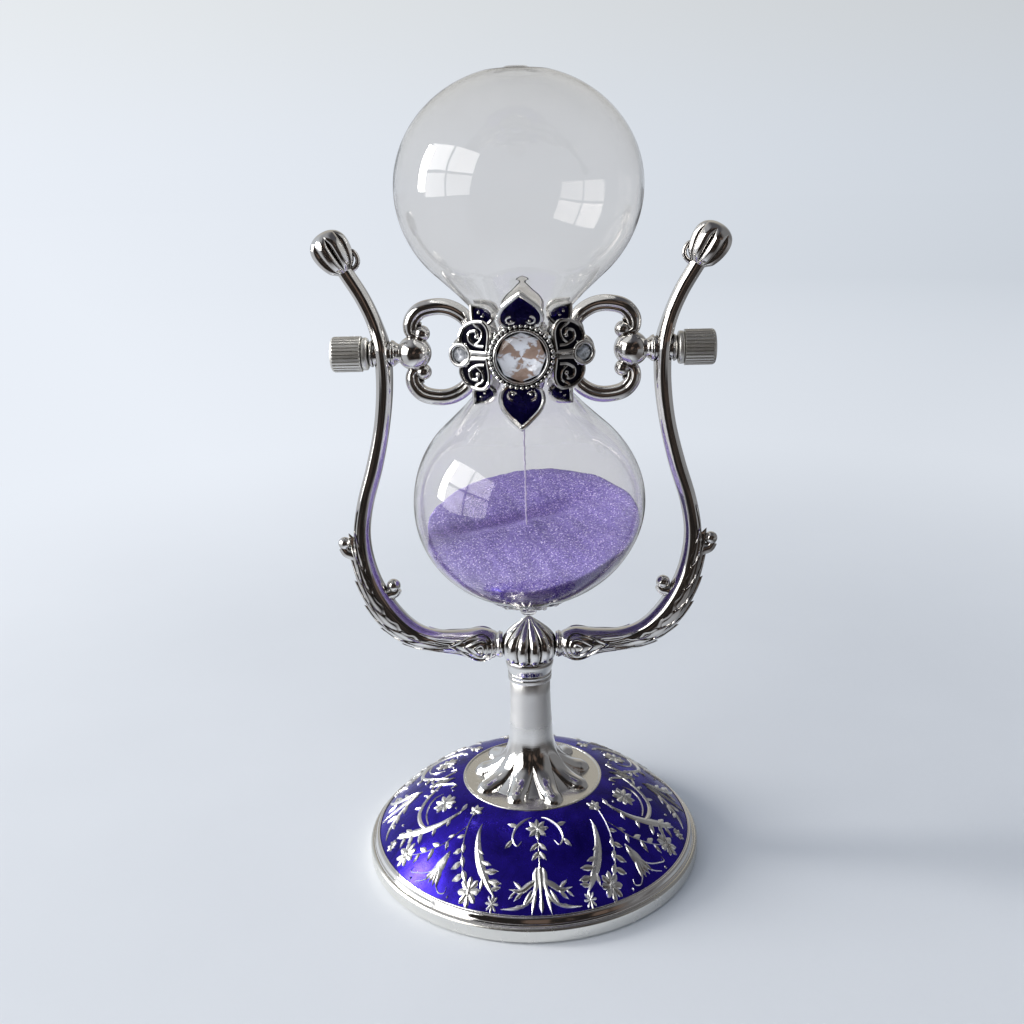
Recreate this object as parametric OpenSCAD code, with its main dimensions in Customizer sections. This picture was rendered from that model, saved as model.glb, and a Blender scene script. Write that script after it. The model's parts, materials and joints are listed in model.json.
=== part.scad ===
// Tilting desk hourglass: a blown glass hung by its waist collar in a lyre-shaped yoke,
// on a stem over a weighted, enamelled base. Millimetres, +Z up, origin under the base's centre.

/* [Base] */
// Outside diameter of the base rim
base_d = 90; // [88:0.5:94]
// Diameter of the enamelled dome
dome_d = 84.8; // [83:0.2:85.6]
// Height of the disc on top of the dome
disc_z = 20.5; // [19:0.5:22]
// Diameter of that disc
disc_d = 38; // [36:0.5:40]
// How far the dome bulges above a straight cone
dome_bulge = 2.6; // [1.5:0.1:3]
// Thickness of the felt under the base
felt_t = 1.2; // [1:0.1:1.3]

/* [Stem] */
// Diameter of the stem at its waist
stem_d = 10.7; // [9.5:0.1:11.5]
// Height of the top of the stem
stem_top_z = 50.6; // [49:0.2:51]
// Height of the bottom of the fluted bud
bud_z = 54.2; // [54:0.1:54.6]
// Height of the tip of the bud
bud_tip_z = 67; // [65:0.2:67.2]
// Largest diameter of the bud
bud_d = 15; // [14.6:0.1:15.6]

/* [Yoke] */
// Height of the axis that the glass turns on
pivot_z = 136.5; // [136:0.1:138]
// Distance from the middle to the centre of each arm, at that axis
pivot_x = 34.3; // [34.3:0.1:35]
// Angle of the two buds at the arm ends, from upright
finial_tilt = 35; // [30:1:40]
// Length of those buds
finial_l = 10.6; // [9:0.2:11]
// Their largest diameter
finial_d = 9; // [8:0.2:9.6]

/* [Hourglass] */
// Largest diameter of each bulb
bulb_d = 58.6; // [57:0.2:59]
// Height of that largest diameter above and below the axis
bulb_h = 38.3; // [37.8:0.1:38.6]
// Thickness of the glass
glass_t = 1; // [0.8:0.1:1.2]
// How far the sealed filling spout reaches from the axis
spout_h = 68.4; // [67.4:0.2:68.4]
// Height of the sand in the middle of the lower bulb, below the axis
sand_h = 45; // [43:0.5:50]
// Slope of the sand from left to right and from front to back, in degrees
sand_slope = [6.9, 15]; // [0:1:15]

/* [Collar] */
// Diameter of the clear stone that shows
gem_d = 12.3; // [11:0.1:12.6]
// Diameter of the beaded ring round it
bezel_d = 15.4; // [15:0.1:15.8]
// Distance from the axis to the points of the two large petals
petal_h = 16.3; // [15.5:0.1:16.8]

/* [Knobs] */
// Diameter of the knurled knobs
knob_d = 8.7; // [7.5:0.1:9]
// Length of the knobs
knob_l = 9.8; // [9:0.1:10.5]
// Diameter of the threaded studs
stud_d = 3; // [2.5:0.5:3]

/* [Hidden] */
$fn = 64;

silver = "#c9c9cc";
satin = "#dcdad4";
steel = "#8d9094";
cobalt = "#1c1a8c";
midnight = "#1a1538";
crystal = "#e8eef4";
lilac = "#8b74c4";
clear_grey = "#cfd6dc";

fit = 0.08;                       // running clearance, on the radius
base_r = base_d / 2;
dome_r = dome_d / 2;
disc_r = disc_d / 2;
dome_edge_z = 6;
dome_t = 1.3;
stud_r = stud_d / 2;
rod_r = 2;
rod_bore_r = 2.3;
bud_r = bud_d / 2;
hub_x = 7;                        // the arms meet the bud at this distance from the middle
hub_z = 59;
tenon_r = 1.8;
tenon_x = 3.4;
neck_r = 3;                       // outside radius of the glass at its waist
neck_bend = 1.2;                  // how gently the waist opens into the cones
cone_slope = 0.97;                // growth of the glass radius with height, near the waist
bulb_r = bulb_d / 2;
bulb_in = 27.5;                   // half height of the bulb towards the waist
bulb_out = 26.6;                  // and away from it
spout_r = 2;
neck_gap = 0.05;                  // half of the gap between the ends of the two bulbs
collar_r = 7.2;
collar_wall = 1;
collar_h = 3.2;
bushing_r = 2.1;
boss_r = 3.4;
arm_in = pivot_x - 2.2;           // inner and outer faces of the boss on each arm
arm_out = pivot_x + 2.3;
ball_x = 27.1;
ball_r = 3.65;
washer_t = 0.8;
knob_x = arm_out + 0.1 + washer_t + 0.1;
knob_r = knob_d / 2;
side_x = 15.2;                    // the small stones beside the large one
rivet_r = 0.8;
rivet_l = 6.4;
outer_curl = [47.1, 87.8];        // the small balls that end the curls on each arm
outer_curl_r = 1.6;
inner_curl = [35, 75.9];
inner_curl_r = 1.75;
scroll_end = [24.4, 4.7];         // and the ball that ends each scroll
scroll_end_r = 2.05;

// Centreline of the right arm: distance from the middle, height, half width, half depth
arm_points = [
    [7, 59, 3.3, 3.3], [8.6, 59, 3.5, 3.5], [12.8, 59.2, 4.4, 4.2], [18.5, 59.8, 3.3, 3.4],
    [25, 60.5, 2.8, 2.9], [31, 62.8, 3.1, 3.2], [36.4, 68, 3.4, 3.4], [40.2, 75.4, 3, 3.2],
    [42, 83, 2.5, 2.8], [42.3, 90.5, 2.2, 2.6], [40.9, 98.5, 2.1, 2.5], [38, 108, 2.1, 2.5],
    [35.6, 118, 2, 2.5], [34.3, 128, 2, 2.7], [pivot_x, 137, 2, 3.2], [35.7, 143.5, 1.9, 2.4],
    [38.4, 150, 1.9, 2.1], [42.2, 156.4, 1.9, 1.9]
];
arm_steps = 3;
arm_sides = 14;

// Centreline of an upper scroll of the brackets: distance from the middle, height over the axis, radii
scroll_points = [
    [12.6, 6.6, 1.6, 1.6], [14.4, 9, 1.8, 1.8], [17.4, 10.7, 1.85, 1.85], [20.8, 11.1, 1.85, 1.85],
    [24.2, 10.2, 1.85, 1.85], [26.3, 7.8, 1.8, 1.8], [26.5, 5.2, 1.6, 1.6], [25.2, 4.1, 1.3, 1.3]
];
scroll_steps = 3;
scroll_sides = 12;

// A point on the smooth curve through pts[i] and pts[i + 1]
function between(pts, i, t) =
    let (last = len(pts) - 1, a = pts[max(i - 1, 0)], b = pts[i], c = pts[min(i + 1, last)],
         d = pts[min(i + 2, last)])
    0.5 * (2 * b + (c - a) * t + (2 * a - 5 * b + 4 * c - d) * t * t + (3 * b - 3 * c + d - a) * t * t * t);
function curve(pts, steps) = concat(
    [for (i = [0 : len(pts) - 2], k = [0 : steps - 1]) between(pts, i, k / steps)],
    [pts[len(pts) - 1]]
);
function unit(v) = v / norm(v);
function heading(path, i) =
    let (a = path[max(i - 1, 0)], b = path[min(i + 1, len(path) - 1)]) unit([b[0] - a[0], b[1] - a[1]]);

// A bar of oval section along a path in the XZ plane, its first end cut square to X
module bar(pts, steps, sides) {
    path = curve(pts, steps);
    rings = len(path);
    points = [
        for (i = [0 : rings - 1])
            let (h = i == 0 ? [1, 0] : heading(path, i), p = path[i])
            for (k = [0 : sides - 1])
                let (a = 360 * k / sides)
                [p[0] - h[1] * p[2] * cos(a), p[3] * sin(a), p[1] + h[0] * p[2] * cos(a)]
    ];
    walls = [
        for (i = [0 : rings - 2], k = [0 : sides - 1])
            let (a = i * sides + k, b = i * sides + (k + 1) % sides)
            each [[a, b, b + sides], [a, b + sides, a + sides]]
    ];
    caps = [
        [for (k = [sides - 1 : -1 : 0]) k],
        [for (k = [0 : sides - 1]) (rings - 1) * sides + k]
    ];
    polyhedron(points, concat(walls, caps));
}

// A fluted solid of revolution: profile is a list of [radius, height], flute is the groove depth ratio
module fluted(profile, flutes, flute) {
    sides = flutes * 4;
    rings = len(profile);
    points = [
        for (p = profile, k = [0 : sides - 1])
            let (a = 360 * k / sides, r = p[0] * (1 - flute * (1 + cos(flutes * a)) / 2))
            [r * cos(a), r * sin(a), p[1]]
    ];
    walls = [
        for (i = [0 : rings - 2], k = [0 : sides - 1])
            let (a = i * sides + k, b = i * sides + (k + 1) % sides)
            each [[a, b + sides, b], [a, a + sides, b + sides]]
    ];
    caps = [
        [for (k = [0 : sides - 1]) k],
        [for (k = [sides - 1 : -1 : 0]) (rings - 1) * sides + k]
    ];
    polyhedron(points, concat(walls, caps));
}

module on_side(side) {
    if (side > 0) children();
    else mirror([1, 0, 0]) children();
}

// A round bar along X, from x0 to x1, at the height of the turning axis
module x_rod(x0, x1, r, z = pivot_z) {
    translate([x0, 0, z]) rotate([0, 90, 0]) cylinder(r = r, h = x1 - x0);
}

// ---- base ----

function dome_z(r) =
    let (t = (r - disc_r) / (dome_r - disc_r))
    disc_z - 0.1 + (dome_edge_z - disc_z + 0.1) * t + 4 * dome_bulge * t * (1 - t);

module felt_pad() {
    color(steel) cylinder(r = base_r - 2.8, h = felt_t);
}

module base_rim() {
    bead_r = 1.25;
    bead_x = dome_r + 1.1;
    bead_z = dome_edge_z - 0.5;
    color(silver) rotate_extrude($fn = 96) polygon(concat(
        [
            [base_r - 2.7, 0.2], [base_r - 0.4, 0.2], [base_r, 0.6], [base_r, 3.8], [base_r - 0.4, 4.2],
            [bead_x + 0.5, 4.3]
        ],
        [for (a = [-50 : 20 : 130]) [bead_x + bead_r * cos(a), bead_z + bead_r * sin(a)]],
        [
            [dome_r + 0.03, dome_edge_z], [dome_r + 0.03, 4.6], [dome_r - 2, 4.6],
            [dome_r - 2, felt_t + 0.05], [base_r - 2.7, felt_t + 0.05]
        ]
    ));
}

module base_weight() {
    color(steel) rotate_extrude() polygon([
        [rod_bore_r, 6.2], [6.4, 6.2], [6.4, felt_t + 0.1], [dome_r - 2.2, felt_t + 0.1],
        [dome_r - 2.2, 3.8], [36, 6.5], [20, 14], [8, 15.5], [rod_bore_r, 15.5]
    ]);
}

module base_dome() {
    steps = 9;
    color(cobalt) rotate_extrude($fn = 96) polygon(concat(
        [for (i = [0 : steps]) let (r = disc_r + (dome_r - disc_r) * i / steps) [r, dome_z(r)]],
        [[dome_r, 4.65], [dome_r - 1.8, 4.65]],
        [for (i = [steps - 1 : -1 : 0])
            let (r = disc_r + (dome_r - disc_r) * i / steps) [r - 0.5, dome_z(r) - dome_t]],
        [[disc_r - 1.2, disc_z - 2.7], [rod_bore_r, disc_z - 2.7], [rod_bore_r, disc_z - 1.4],
            [disc_r - 0.05, disc_z - 1.4]]
    ));
}

module foot_disc() {
    top = disc_z - 0.1;
    color(satin) rotate_extrude($fn = 96) polygon([
        [rod_bore_r, disc_z - 1.35], [disc_r - 0.1, disc_z - 1.35], [disc_r - 0.1, top + 0.1],
        [disc_r - 0.3, top + 0.25], [disc_r - 0.7, top + 0.25], [disc_r - 0.9, top],
        [rod_bore_r, top]
    ]);
}

// ---- stem ----

module stem() {
    foot_z = disc_z - 0.1;
    flare_h = 14;
    flare_r = 13.5;
    lobes = 9;
    waist = stem_d / 2;
    color(satin) union() {
        rotate_extrude() polygon(concat(
            [[rod_bore_r, foot_z], [flare_r, foot_z], [flare_r, foot_z + 0.5]],
            [for (t = [0.12 : 0.11 : 1])
                [waist + (flare_r - waist) * pow(1 - t, 2.6), foot_z + 0.5 + flare_h * t]],
            [[waist - 0.1, stem_top_z - 8], [waist, stem_top_z], [rod_bore_r, stem_top_z]]
        ));
        for (i = [0 : lobes - 1]) rotate([0, 0, -90 + i * 360 / lobes]) translate([13.4, 0, foot_z]) {
            cylinder(r = 2.1, h = 0.8);
            translate([0, 0, 0.8]) cylinder(r1 = 2.1, r2 = 1.2, h = 0.5);
        }
    }
}

module stem_ferrule() {
    color(silver) rotate_extrude() polygon([
        [rod_bore_r, stem_top_z], [stem_d / 2 + 0.1, stem_top_z], [stem_d / 2 + 0.5, stem_top_z + 0.5],
        [stem_d / 2 + 0.5, stem_top_z + 1.2], [stem_d / 2 + 0.2, stem_top_z + 1.5],
        [stem_d / 2 + 0.4, bud_z - 1], [stem_d / 2 + 0.8, bud_z - 0.2], [stem_d / 2 + 0.8, bud_z],
        [rod_bore_r, bud_z]
    ]);
}

module hub_bud() {
    tall = bud_tip_z - bud_z;
    rod_end = 56.6;
    profile = [for (t = [0, 0.08, 0.2, 0.35, 0.5, 0.65, 0.8, 0.92, 1])
        [max(bud_r * pow(sin(35 + 145 * t), 0.8) * (t > 0.9 ? 0.9 : 1), 0.25), bud_z + tall * t]];
    color(silver) difference() {
        fluted(profile, 12, 0.08);
        translate([0, 0, bud_z - 1]) cylinder(r = rod_r, h = rod_end - bud_z + 1);
        for (side = [-1, 1]) on_side(side) {
            translate([hub_x, -bud_r, bud_z - 1]) cube([2, 2 * bud_r, tall]);
            x_rod(tenon_x, hub_x + 1, tenon_r, hub_z);
        }
    }
}

module tie_rod() {
    color(steel) translate([0, 0, 2.2]) cylinder(r = rod_r, h = 56.5 - 2.2);
}

module tie_nut() {
    color(steel) translate([0, 0, 2.4]) difference() {
        cylinder(r = 4.04, h = 2.8, $fn = 6);
        translate([0, 0, -1]) cylinder(r = rod_r, h = 5);
    }
}

module tie_washer() {
    color(steel) translate([0, 0, 5.2]) difference() {
        cylinder(r = 5.5, h = 1);
        translate([0, 0, -1]) cylinder(r = rod_bore_r, h = 3);
    }
}

// ---- yoke ----

// A ball on a short tapered neck that grows out of an arm
module curl(ball, ball_r, root, lean, root_r, tip_r) {
    translate([ball[0], 0, ball[1]]) sphere(r = ball_r, $fn = 24);
    translate([root[0], 0, root[1]]) rotate([0, lean, 0]) cylinder(r1 = root_r, r2 = tip_r, h = 3, $fn = 24);
}

module arm(side) {
    color(silver) on_side(side) difference() {
        union() {
            bar(arm_points, arm_steps, arm_sides);
            x_rod(tenon_x, hub_x + 2, tenon_r, hub_z);
            x_rod(arm_in, arm_out, boss_r);
            curl(outer_curl, outer_curl_r, outer_curl - [3.4, 0.2], 88, 1.4, 0.8);
            curl(inner_curl, inner_curl_r, inner_curl + [1, -0.7], 80, 0.9, 1.5);
        }
        x_rod(arm_in - 1, arm_out + 1, bushing_r);
    }
}

module bushing(side) {
    color(steel) on_side(side) difference() {
        x_rod(arm_in - 0.05, arm_out + 0.05, bushing_r);
        x_rod(arm_in - 1, arm_out + 1, stud_r + fit);
    }
}

module finial(side) {
    seat = arm_points[len(arm_points) - 1];
    profile = [for (t = [0, 0.12, 0.25, 0.4, 0.55, 0.7, 0.85, 0.95, 1])
        let (swell = 0.42 + 0.58 * sin(min(t * 150, 90)))
        [finial_d / 2 * swell * sqrt(max(1 - pow(t, 5), 0.01)), finial_l * t]];
    color(silver) on_side(side) translate([seat[0], 0, seat[1]]) rotate([0, finial_tilt, 0])
        translate([0, 0, 0.35]) fluted(profile, 9, 0.1);
}

// ---- glass ----

// Outside radius of the glass at height h from the waist
function cone_rr(h, t) = neck_r - neck_bend - t + sqrt(pow(neck_bend, 2) + pow(cone_slope * h, 2));
function bulb_rr(h, t) =
    let (half = (h > bulb_h ? bulb_out : bulb_in) - t)
    (bulb_r - t) * sqrt(max(0, 1 - pow((h - bulb_h) / half, 2)));
inner_heights = [0, 2, 4, 7, 11, 16];
function half_profile(t) = concat(
    [for (h = inner_heights) [cone_rr(h, t), h]],
    [for (a = [46 : 8 : 86])
        let (x = (bulb_r - t) * sin(a)) [x, bulb_h - (bulb_in - t) * cos(a)]],
    [for (a = [90 : -8 : 18]) [(bulb_r - t) * sin(a), bulb_h + (bulb_out - t) * cos(a)]]
);
function flip(pts) = [for (i = [len(pts) - 1 : -1 : 0]) [pts[i][0], -pts[i][1]]];
function rest(pts) = [for (i = [1 : len(pts) - 1]) pts[i]];

module at_pivot() {
    translate([0, 0, pivot_z]) children();
}

module vessel_inside(gap) {
    half = half_profile(glass_t + gap);
    top = bulb_h + bulb_out - glass_t - gap;
    rotate_extrude($fn = 96) polygon(concat([[0, 0.4 - top]], flip(rest(half)), half, [[0, top - 0.4]]));
}

// Outline of one bulb's wall, from the end of its neck round its far end and back along the inside
function bulb_wall(far_end) =
    let (outside = rest(half_profile(0)), inside = half_profile(glass_t),
         inner_top = [0, bulb_h + bulb_out - glass_t - 0.4])
    concat([[neck_r, neck_gap]], outside, far_end, [inner_top],
        [for (i = [len(inside) - 1 : -1 : 1]) inside[i]], [[neck_r - glass_t, neck_gap]]);

module upper_bulb() {
    top = bulb_h + bulb_out;
    color(clear_grey) at_pivot() rotate_extrude($fn = 96)
        polygon(bulb_wall([[spout_r, top - 0.3], [0, top - 0.1]]));
}

module lower_bulb() {
    top = bulb_h + bulb_out;
    spout = [
        [spout_r + 1.4, top - 0.5], [spout_r, spout_h - 1.6], [spout_r, spout_h - 0.6],
        [spout_r - 0.5, spout_h], [0, spout_h]
    ];
    color(clear_grey) at_pivot() mirror([0, 0, 1]) rotate_extrude($fn = 96) polygon(bulb_wall(spout));
}

module sand() {
    big = 80;
    color(lilac) at_pivot() intersection() {
        vessel_inside(0.05);
        translate([0, 0, -sand_h]) rotate([sand_slope[1], 0, 0]) rotate([0, -sand_slope[0], 0])
            translate([-big / 2, -big / 2, -big]) cube([big, big, big]);
    }
}

module sand_stream() {
    color(lilac) at_pivot() translate([0, 0, -sand_h + 0.4]) cylinder(r = 0.3, h = sand_h + 0.6, $fn = 16);
}

module neck_liner() {
    outline = [for (p = half_profile(-0.04)) if (p[1] <= 4) p];
    wall = collar_r - collar_wall;
    color(steel) at_pivot() intersection() {
        rotate_extrude() polygon(concat(
            flip(rest(outline)), outline, [[wall, 4], [wall, -4]]
        ));
        translate([0, 0, -collar_h]) cylinder(r = wall + 1, h = 2 * collar_h);
    }
}

// The space that the waist of the glass takes, grown by a gap
module waist_space(gap) {
    outline = [for (p = half_profile(-gap)) if (p[1] <= 17) p];
    top = outline[len(outline) - 1][1];
    rotate_extrude() polygon(concat([[0, -top]], flip(rest(outline)), outline, [[0, top]]));
}

// ---- collar ----

module half_collar(side) {
    color(silver) at_pivot() intersection() {
        difference() {
            translate([0, 0, -collar_h]) cylinder(r = collar_r, h = 2 * collar_h);
            translate([0, 0, -collar_h - 1]) cylinder(r = collar_r - collar_wall, h = 2 * collar_h + 2);
        }
        translate([-collar_r - 1, side > 0 ? 0.05 : -collar_r - 1.05, -collar_h - 1])
            cube([2 * collar_r + 2, collar_r + 1, 2 * collar_h + 2]);
    }
}

// Turns a face drawn in XY, with its thickness along +Z, to look forwards (-1) or backwards (1)
module facing(side) {
    at_pivot() rotate([90, 0, side > 0 ? 180 : 0]) children();
}

// Outline of a large petal with its foot at the origin and its point at [0, long]
module petal_outline(long, wide) {
    polygon(concat(
        [[-wide * 0.3, 0]],
        [for (t = [0 : 0.2 : 1]) [-wide / 2 * cos(90 * pow(t, 1.3)), long * (0.25 + 0.75 * t)]],
        [for (t = [0.8 : -0.2 : 0]) [wide / 2 * cos(90 * pow(t, 1.3)), long * (0.25 + 0.75 * t)]],
        [[wide * 0.3, 0]]
    ));
}

petal_tilt = 43;
petal_foot = [7.4, 9.7];          // distance from the middle and forwards of the axis
petal_long = (petal_h - petal_foot[0]) / cos(petal_tilt);
petal_wide = 10.6;
leaf_foot = [7.4, 8.2];
leaf_long = 9.4;
leaf_wide = 5.6;
leaf_tilt = 11;
gem_z = 8.6;
plate_z = 10.2;                   // front of the plate that carries the large stone
wing_tilt = 24;
wing_foot = [6, 7.2];

module on_petals() {
    for (turn = [0, 180]) rotate([0, 0, turn])
        translate([0, petal_foot[0], petal_foot[1]]) rotate([petal_tilt, 0, 0]) children();
}

module on_leaves() {
    for (turn = [45, 135, 225, 315]) rotate([0, 0, turn])
        translate([0, leaf_foot[0], leaf_foot[1]]) rotate([-leaf_tilt, 0, 0]) children();
}

module on_wings() {
    for (turn = [0, 180]) rotate([0, 0, turn])
        translate([wing_foot[0], 0, wing_foot[1]]) rotate([0, wing_tilt, 0]) children();
}

module lobe_outline(r) {
    for (y = [-4.2, 4.2]) translate([4.9, y]) circle(r = r, $fn = 32);
}

module medallion(side) {
    color(silver) facing(side) difference() {
        union() {
            translate([0, 0, 6.8]) cylinder(r = bezel_d / 2, h = plate_z - 6.8);
            on_petals() linear_extrude(0.9) petal_outline(petal_long, petal_wide);
            on_leaves() linear_extrude(0.9) petal_outline(leaf_long, leaf_wide);
            on_wings() {
                linear_extrude(1) lobe_outline(4.1);
                translate([0, -5, 0]) cube([6, 10, 1]);
                translate([(side_x - wing_foot[0]) / cos(wing_tilt), 0, 0]) cylinder(r = 3, h = 1);
            }
        }
        rotate([90, 0, 0]) {
            translate([0, 0, -9]) cylinder(r = collar_r + 0.02, h = 18);
            waist_space(0.15);
        }
        translate([0, 0, plate_z]) cylinder(r = bezel_d / 2 + 0.02, h = 4);
        translate([0, 0, gem_z]) cylinder(r = gem_d / 2, h = 4);
        on_petals() translate([0, petal_long * 0.12, 0.5])
            linear_extrude(1) petal_outline(petal_long * 0.74, petal_wide * 0.74);
        on_leaves() translate([0, leaf_long * 0.16, 0.5])
            linear_extrude(1) petal_outline(leaf_long * 0.66, leaf_wide * 0.6);
        on_wings() translate([0, 0, 0.6]) linear_extrude(1) lobe_outline(3.2);
        for (x = [-side_x, side_x]) translate([x, 0, -4]) cylinder(r = rivet_r, h = 12);
    }
}

module enamel(side) {
    color(midnight) facing(side) difference() {
        union() {
            on_petals() translate([0, petal_long * 0.12, 0.5])
                linear_extrude(0.25) petal_outline(petal_long * 0.74, petal_wide * 0.74);
            on_leaves() translate([0, leaf_long * 0.16, 0.5])
                linear_extrude(0.25) petal_outline(leaf_long * 0.66, leaf_wide * 0.6);
            on_wings() translate([0, 0, 0.6]) linear_extrude(0.25) lobe_outline(3.2);
        }
        cylinder(r = bezel_d / 2 + 0.02, h = 14);
        rotate([90, 0, 0]) waist_space(0.15);
        for (x = [-side_x, side_x]) translate([x, 0, -1]) cylinder(r = 3.1, h = 8);
    }
}

module bezel(side) {
    color(silver) facing(side) difference() {
        union() {
            translate([0, 0, plate_z]) cylinder(r = bezel_d / 2, h = 0.8);
            translate([0, 0, plate_z + 0.8]) cylinder(r1 = bezel_d / 2 - 0.3, r2 = gem_d / 2 + 0.35, h = 0.6);
        }
        translate([0, 0, gem_z]) cylinder(r = gem_d / 2, h = 4);
    }
}

module gem(side) {
    color(crystal) facing(side) {
        translate([0, 0, gem_z]) cylinder(r = gem_d / 2 - 0.02, h = plate_z + 0.6 - gem_z);
        translate([0, 0, plate_z + 0.6]) cylinder(r1 = gem_d / 2 - 0.02, r2 = gem_d * 0.3, h = 1.6);
    }
}

module side_bezels() {
    color(silver) for (side = [-1, 1]) facing(side) on_wings()
        translate([(side_x - wing_foot[0]) / cos(wing_tilt), 0, 1.01]) difference() {
            cylinder(r = 3, h = 1);
            translate([0, 0, -1]) cylinder(r = 2, h = 3);
        }
}

module side_gems() {
    color(crystal) for (side = [-1, 1]) facing(side) on_wings()
        translate([(side_x - wing_foot[0]) / cos(wing_tilt), 0, 1.02]) {
            cylinder(r = 1.98, h = 0.7);
            translate([0, 0, 0.7]) cylinder(r1 = 1.98, r2 = 1.1, h = 0.6);
        }
}

module collar_rivets() {
    color(steel) for (x = [-side_x, side_x]) translate([x, 0, pivot_z]) rotate([90, 0, 0])
        cylinder(r = rivet_r, h = rivet_l, center = true);
}

module bracket(side) {
    color(silver) on_side(side) difference() {
        union() {
            for (up = [0, 1]) at_pivot() mirror([0, 0, up]) {
                bar(scroll_points, scroll_steps, scroll_sides);
                translate([scroll_end[0], 0, scroll_end[1]]) sphere(r = scroll_end_r, $fn = 32);
            }
            translate([ball_x, 0, pivot_z]) sphere(r = ball_r);
            translate([ball_x - 3.6, 0, pivot_z]) sphere(r = 2.2, $fn = 32);
            translate([side_x, 0, pivot_z - 9.2]) cylinder(r = 1.9, h = 18.4);
        }
        x_rod(ball_x - 2, ball_x + 6, stud_r);
        translate([side_x, 0, pivot_z]) rotate([90, 0, 0]) cylinder(r = rivet_r, h = 8, center = true);
    }
}

// ---- pivots and knobs ----

module stud(side) {
    color(steel) on_side(side) x_rod(ball_x - 2, knob_x + knob_l - 2.5, stud_r);
}

module spacer(side) {
    from = ball_x + ball_r - 0.2;
    color(silver) on_side(side) difference() {
        union() {
            x_rod(from, arm_in - 0.1, 2.1);
            x_rod(from + 0.3, arm_in - 0.35, 2.7);
        }
        x_rod(from - 1, arm_in + 1, stud_r);
        translate([ball_x, 0, pivot_z]) sphere(r = ball_r);
    }
}

module washer(side) {
    color(silver) on_side(side) difference() {
        x_rod(arm_out + 0.1, arm_out + 0.1 + washer_t, 3);
        x_rod(arm_out - 1, arm_out + 3, stud_r + fit);
    }
}

module knob(side) {
    neck_l = 2;
    flutes = 28;
    color(silver) on_side(side) difference() {
        union() {
            x_rod(knob_x, knob_x + neck_l, knob_r - 1);
            x_rod(knob_x + neck_l, knob_x + knob_l - 1, knob_r);
            translate([knob_x + knob_l - 1, 0, pivot_z]) rotate([0, 90, 0])
                cylinder(r1 = knob_r, r2 = knob_r - 0.9, h = 1);
        }
        x_rod(knob_x - 1, knob_x + knob_l - 1.2, stud_r + 0.05);
        for (i = [0 : flutes - 1]) translate([0, 0, pivot_z]) rotate([360 * i / flutes, 0, 0])
            translate([knob_x + neck_l + 0.6, -0.14, knob_r - 0.2]) cube([knob_l - neck_l - 1.8, 0.28, 1]);
    }
}

felt_pad();
base_rim();
base_weight();
base_dome();
foot_disc();
stem();
stem_ferrule();
hub_bud();
tie_rod();
tie_nut();
tie_washer();
arm(-1);  // left_arm
arm(1);  // right_arm
bushing(-1);  // left_bushing
bushing(1);  // right_bushing
finial(-1);  // left_finial
finial(1);  // right_finial
upper_bulb();
lower_bulb();
sand();
sand_stream();
neck_liner();
half_collar(-1);  // front_collar
half_collar(1);  // back_collar
medallion(-1);  // front_medallion
medallion(1);  // back_medallion
enamel(-1);  // front_enamel
enamel(1);  // back_enamel
bezel(-1);  // front_bezel
bezel(1);  // back_bezel
gem(-1);  // front_gem
gem(1);  // back_gem
side_bezels();
side_gems();
collar_rivets();
bracket(-1);  // left_bracket
bracket(1);  // right_bracket
stud(-1);  // left_stud
stud(1);  // right_stud
spacer(-1);  // left_spacer
spacer(1);  // right_spacer
washer(-1);  // left_washer
washer(1);  // right_washer
knob(-1);  // left_knob
knob(1);  // right_knob
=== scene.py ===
"""The looks of a desk hourglass that turns over in a silver yoke, on an enamelled base.

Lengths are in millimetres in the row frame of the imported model; show() turns them into metres.
Angles round the base are in degrees from the front, positive towards +X."""

import json
import math

import bpy
import numpy as np
from mathutils import Matrix, Vector


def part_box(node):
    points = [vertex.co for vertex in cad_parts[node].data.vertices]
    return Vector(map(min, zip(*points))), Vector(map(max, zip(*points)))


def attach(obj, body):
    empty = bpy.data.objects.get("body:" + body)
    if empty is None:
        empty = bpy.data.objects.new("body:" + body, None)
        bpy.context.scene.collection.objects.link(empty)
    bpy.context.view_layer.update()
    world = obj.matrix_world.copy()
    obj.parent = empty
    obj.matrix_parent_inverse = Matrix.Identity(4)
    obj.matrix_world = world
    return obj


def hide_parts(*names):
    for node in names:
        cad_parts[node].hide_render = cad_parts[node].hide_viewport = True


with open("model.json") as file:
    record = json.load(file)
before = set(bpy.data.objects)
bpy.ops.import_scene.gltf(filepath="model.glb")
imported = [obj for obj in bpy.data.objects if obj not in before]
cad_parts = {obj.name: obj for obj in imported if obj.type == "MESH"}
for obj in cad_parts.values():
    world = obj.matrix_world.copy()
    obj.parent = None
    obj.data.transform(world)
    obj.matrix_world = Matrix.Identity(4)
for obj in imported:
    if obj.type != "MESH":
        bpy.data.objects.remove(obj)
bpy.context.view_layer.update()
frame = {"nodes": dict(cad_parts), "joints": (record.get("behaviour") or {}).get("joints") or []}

MM = 0.001
TURN = 2 * math.pi


def corner(node, end, axis):
    """A coordinate of a CAD node's box, in millimetres, at its low corner (end 0) or high one (end 1)."""
    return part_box(node)[end][axis] / MM


# ---- sizes that the frame gives ----

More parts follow.
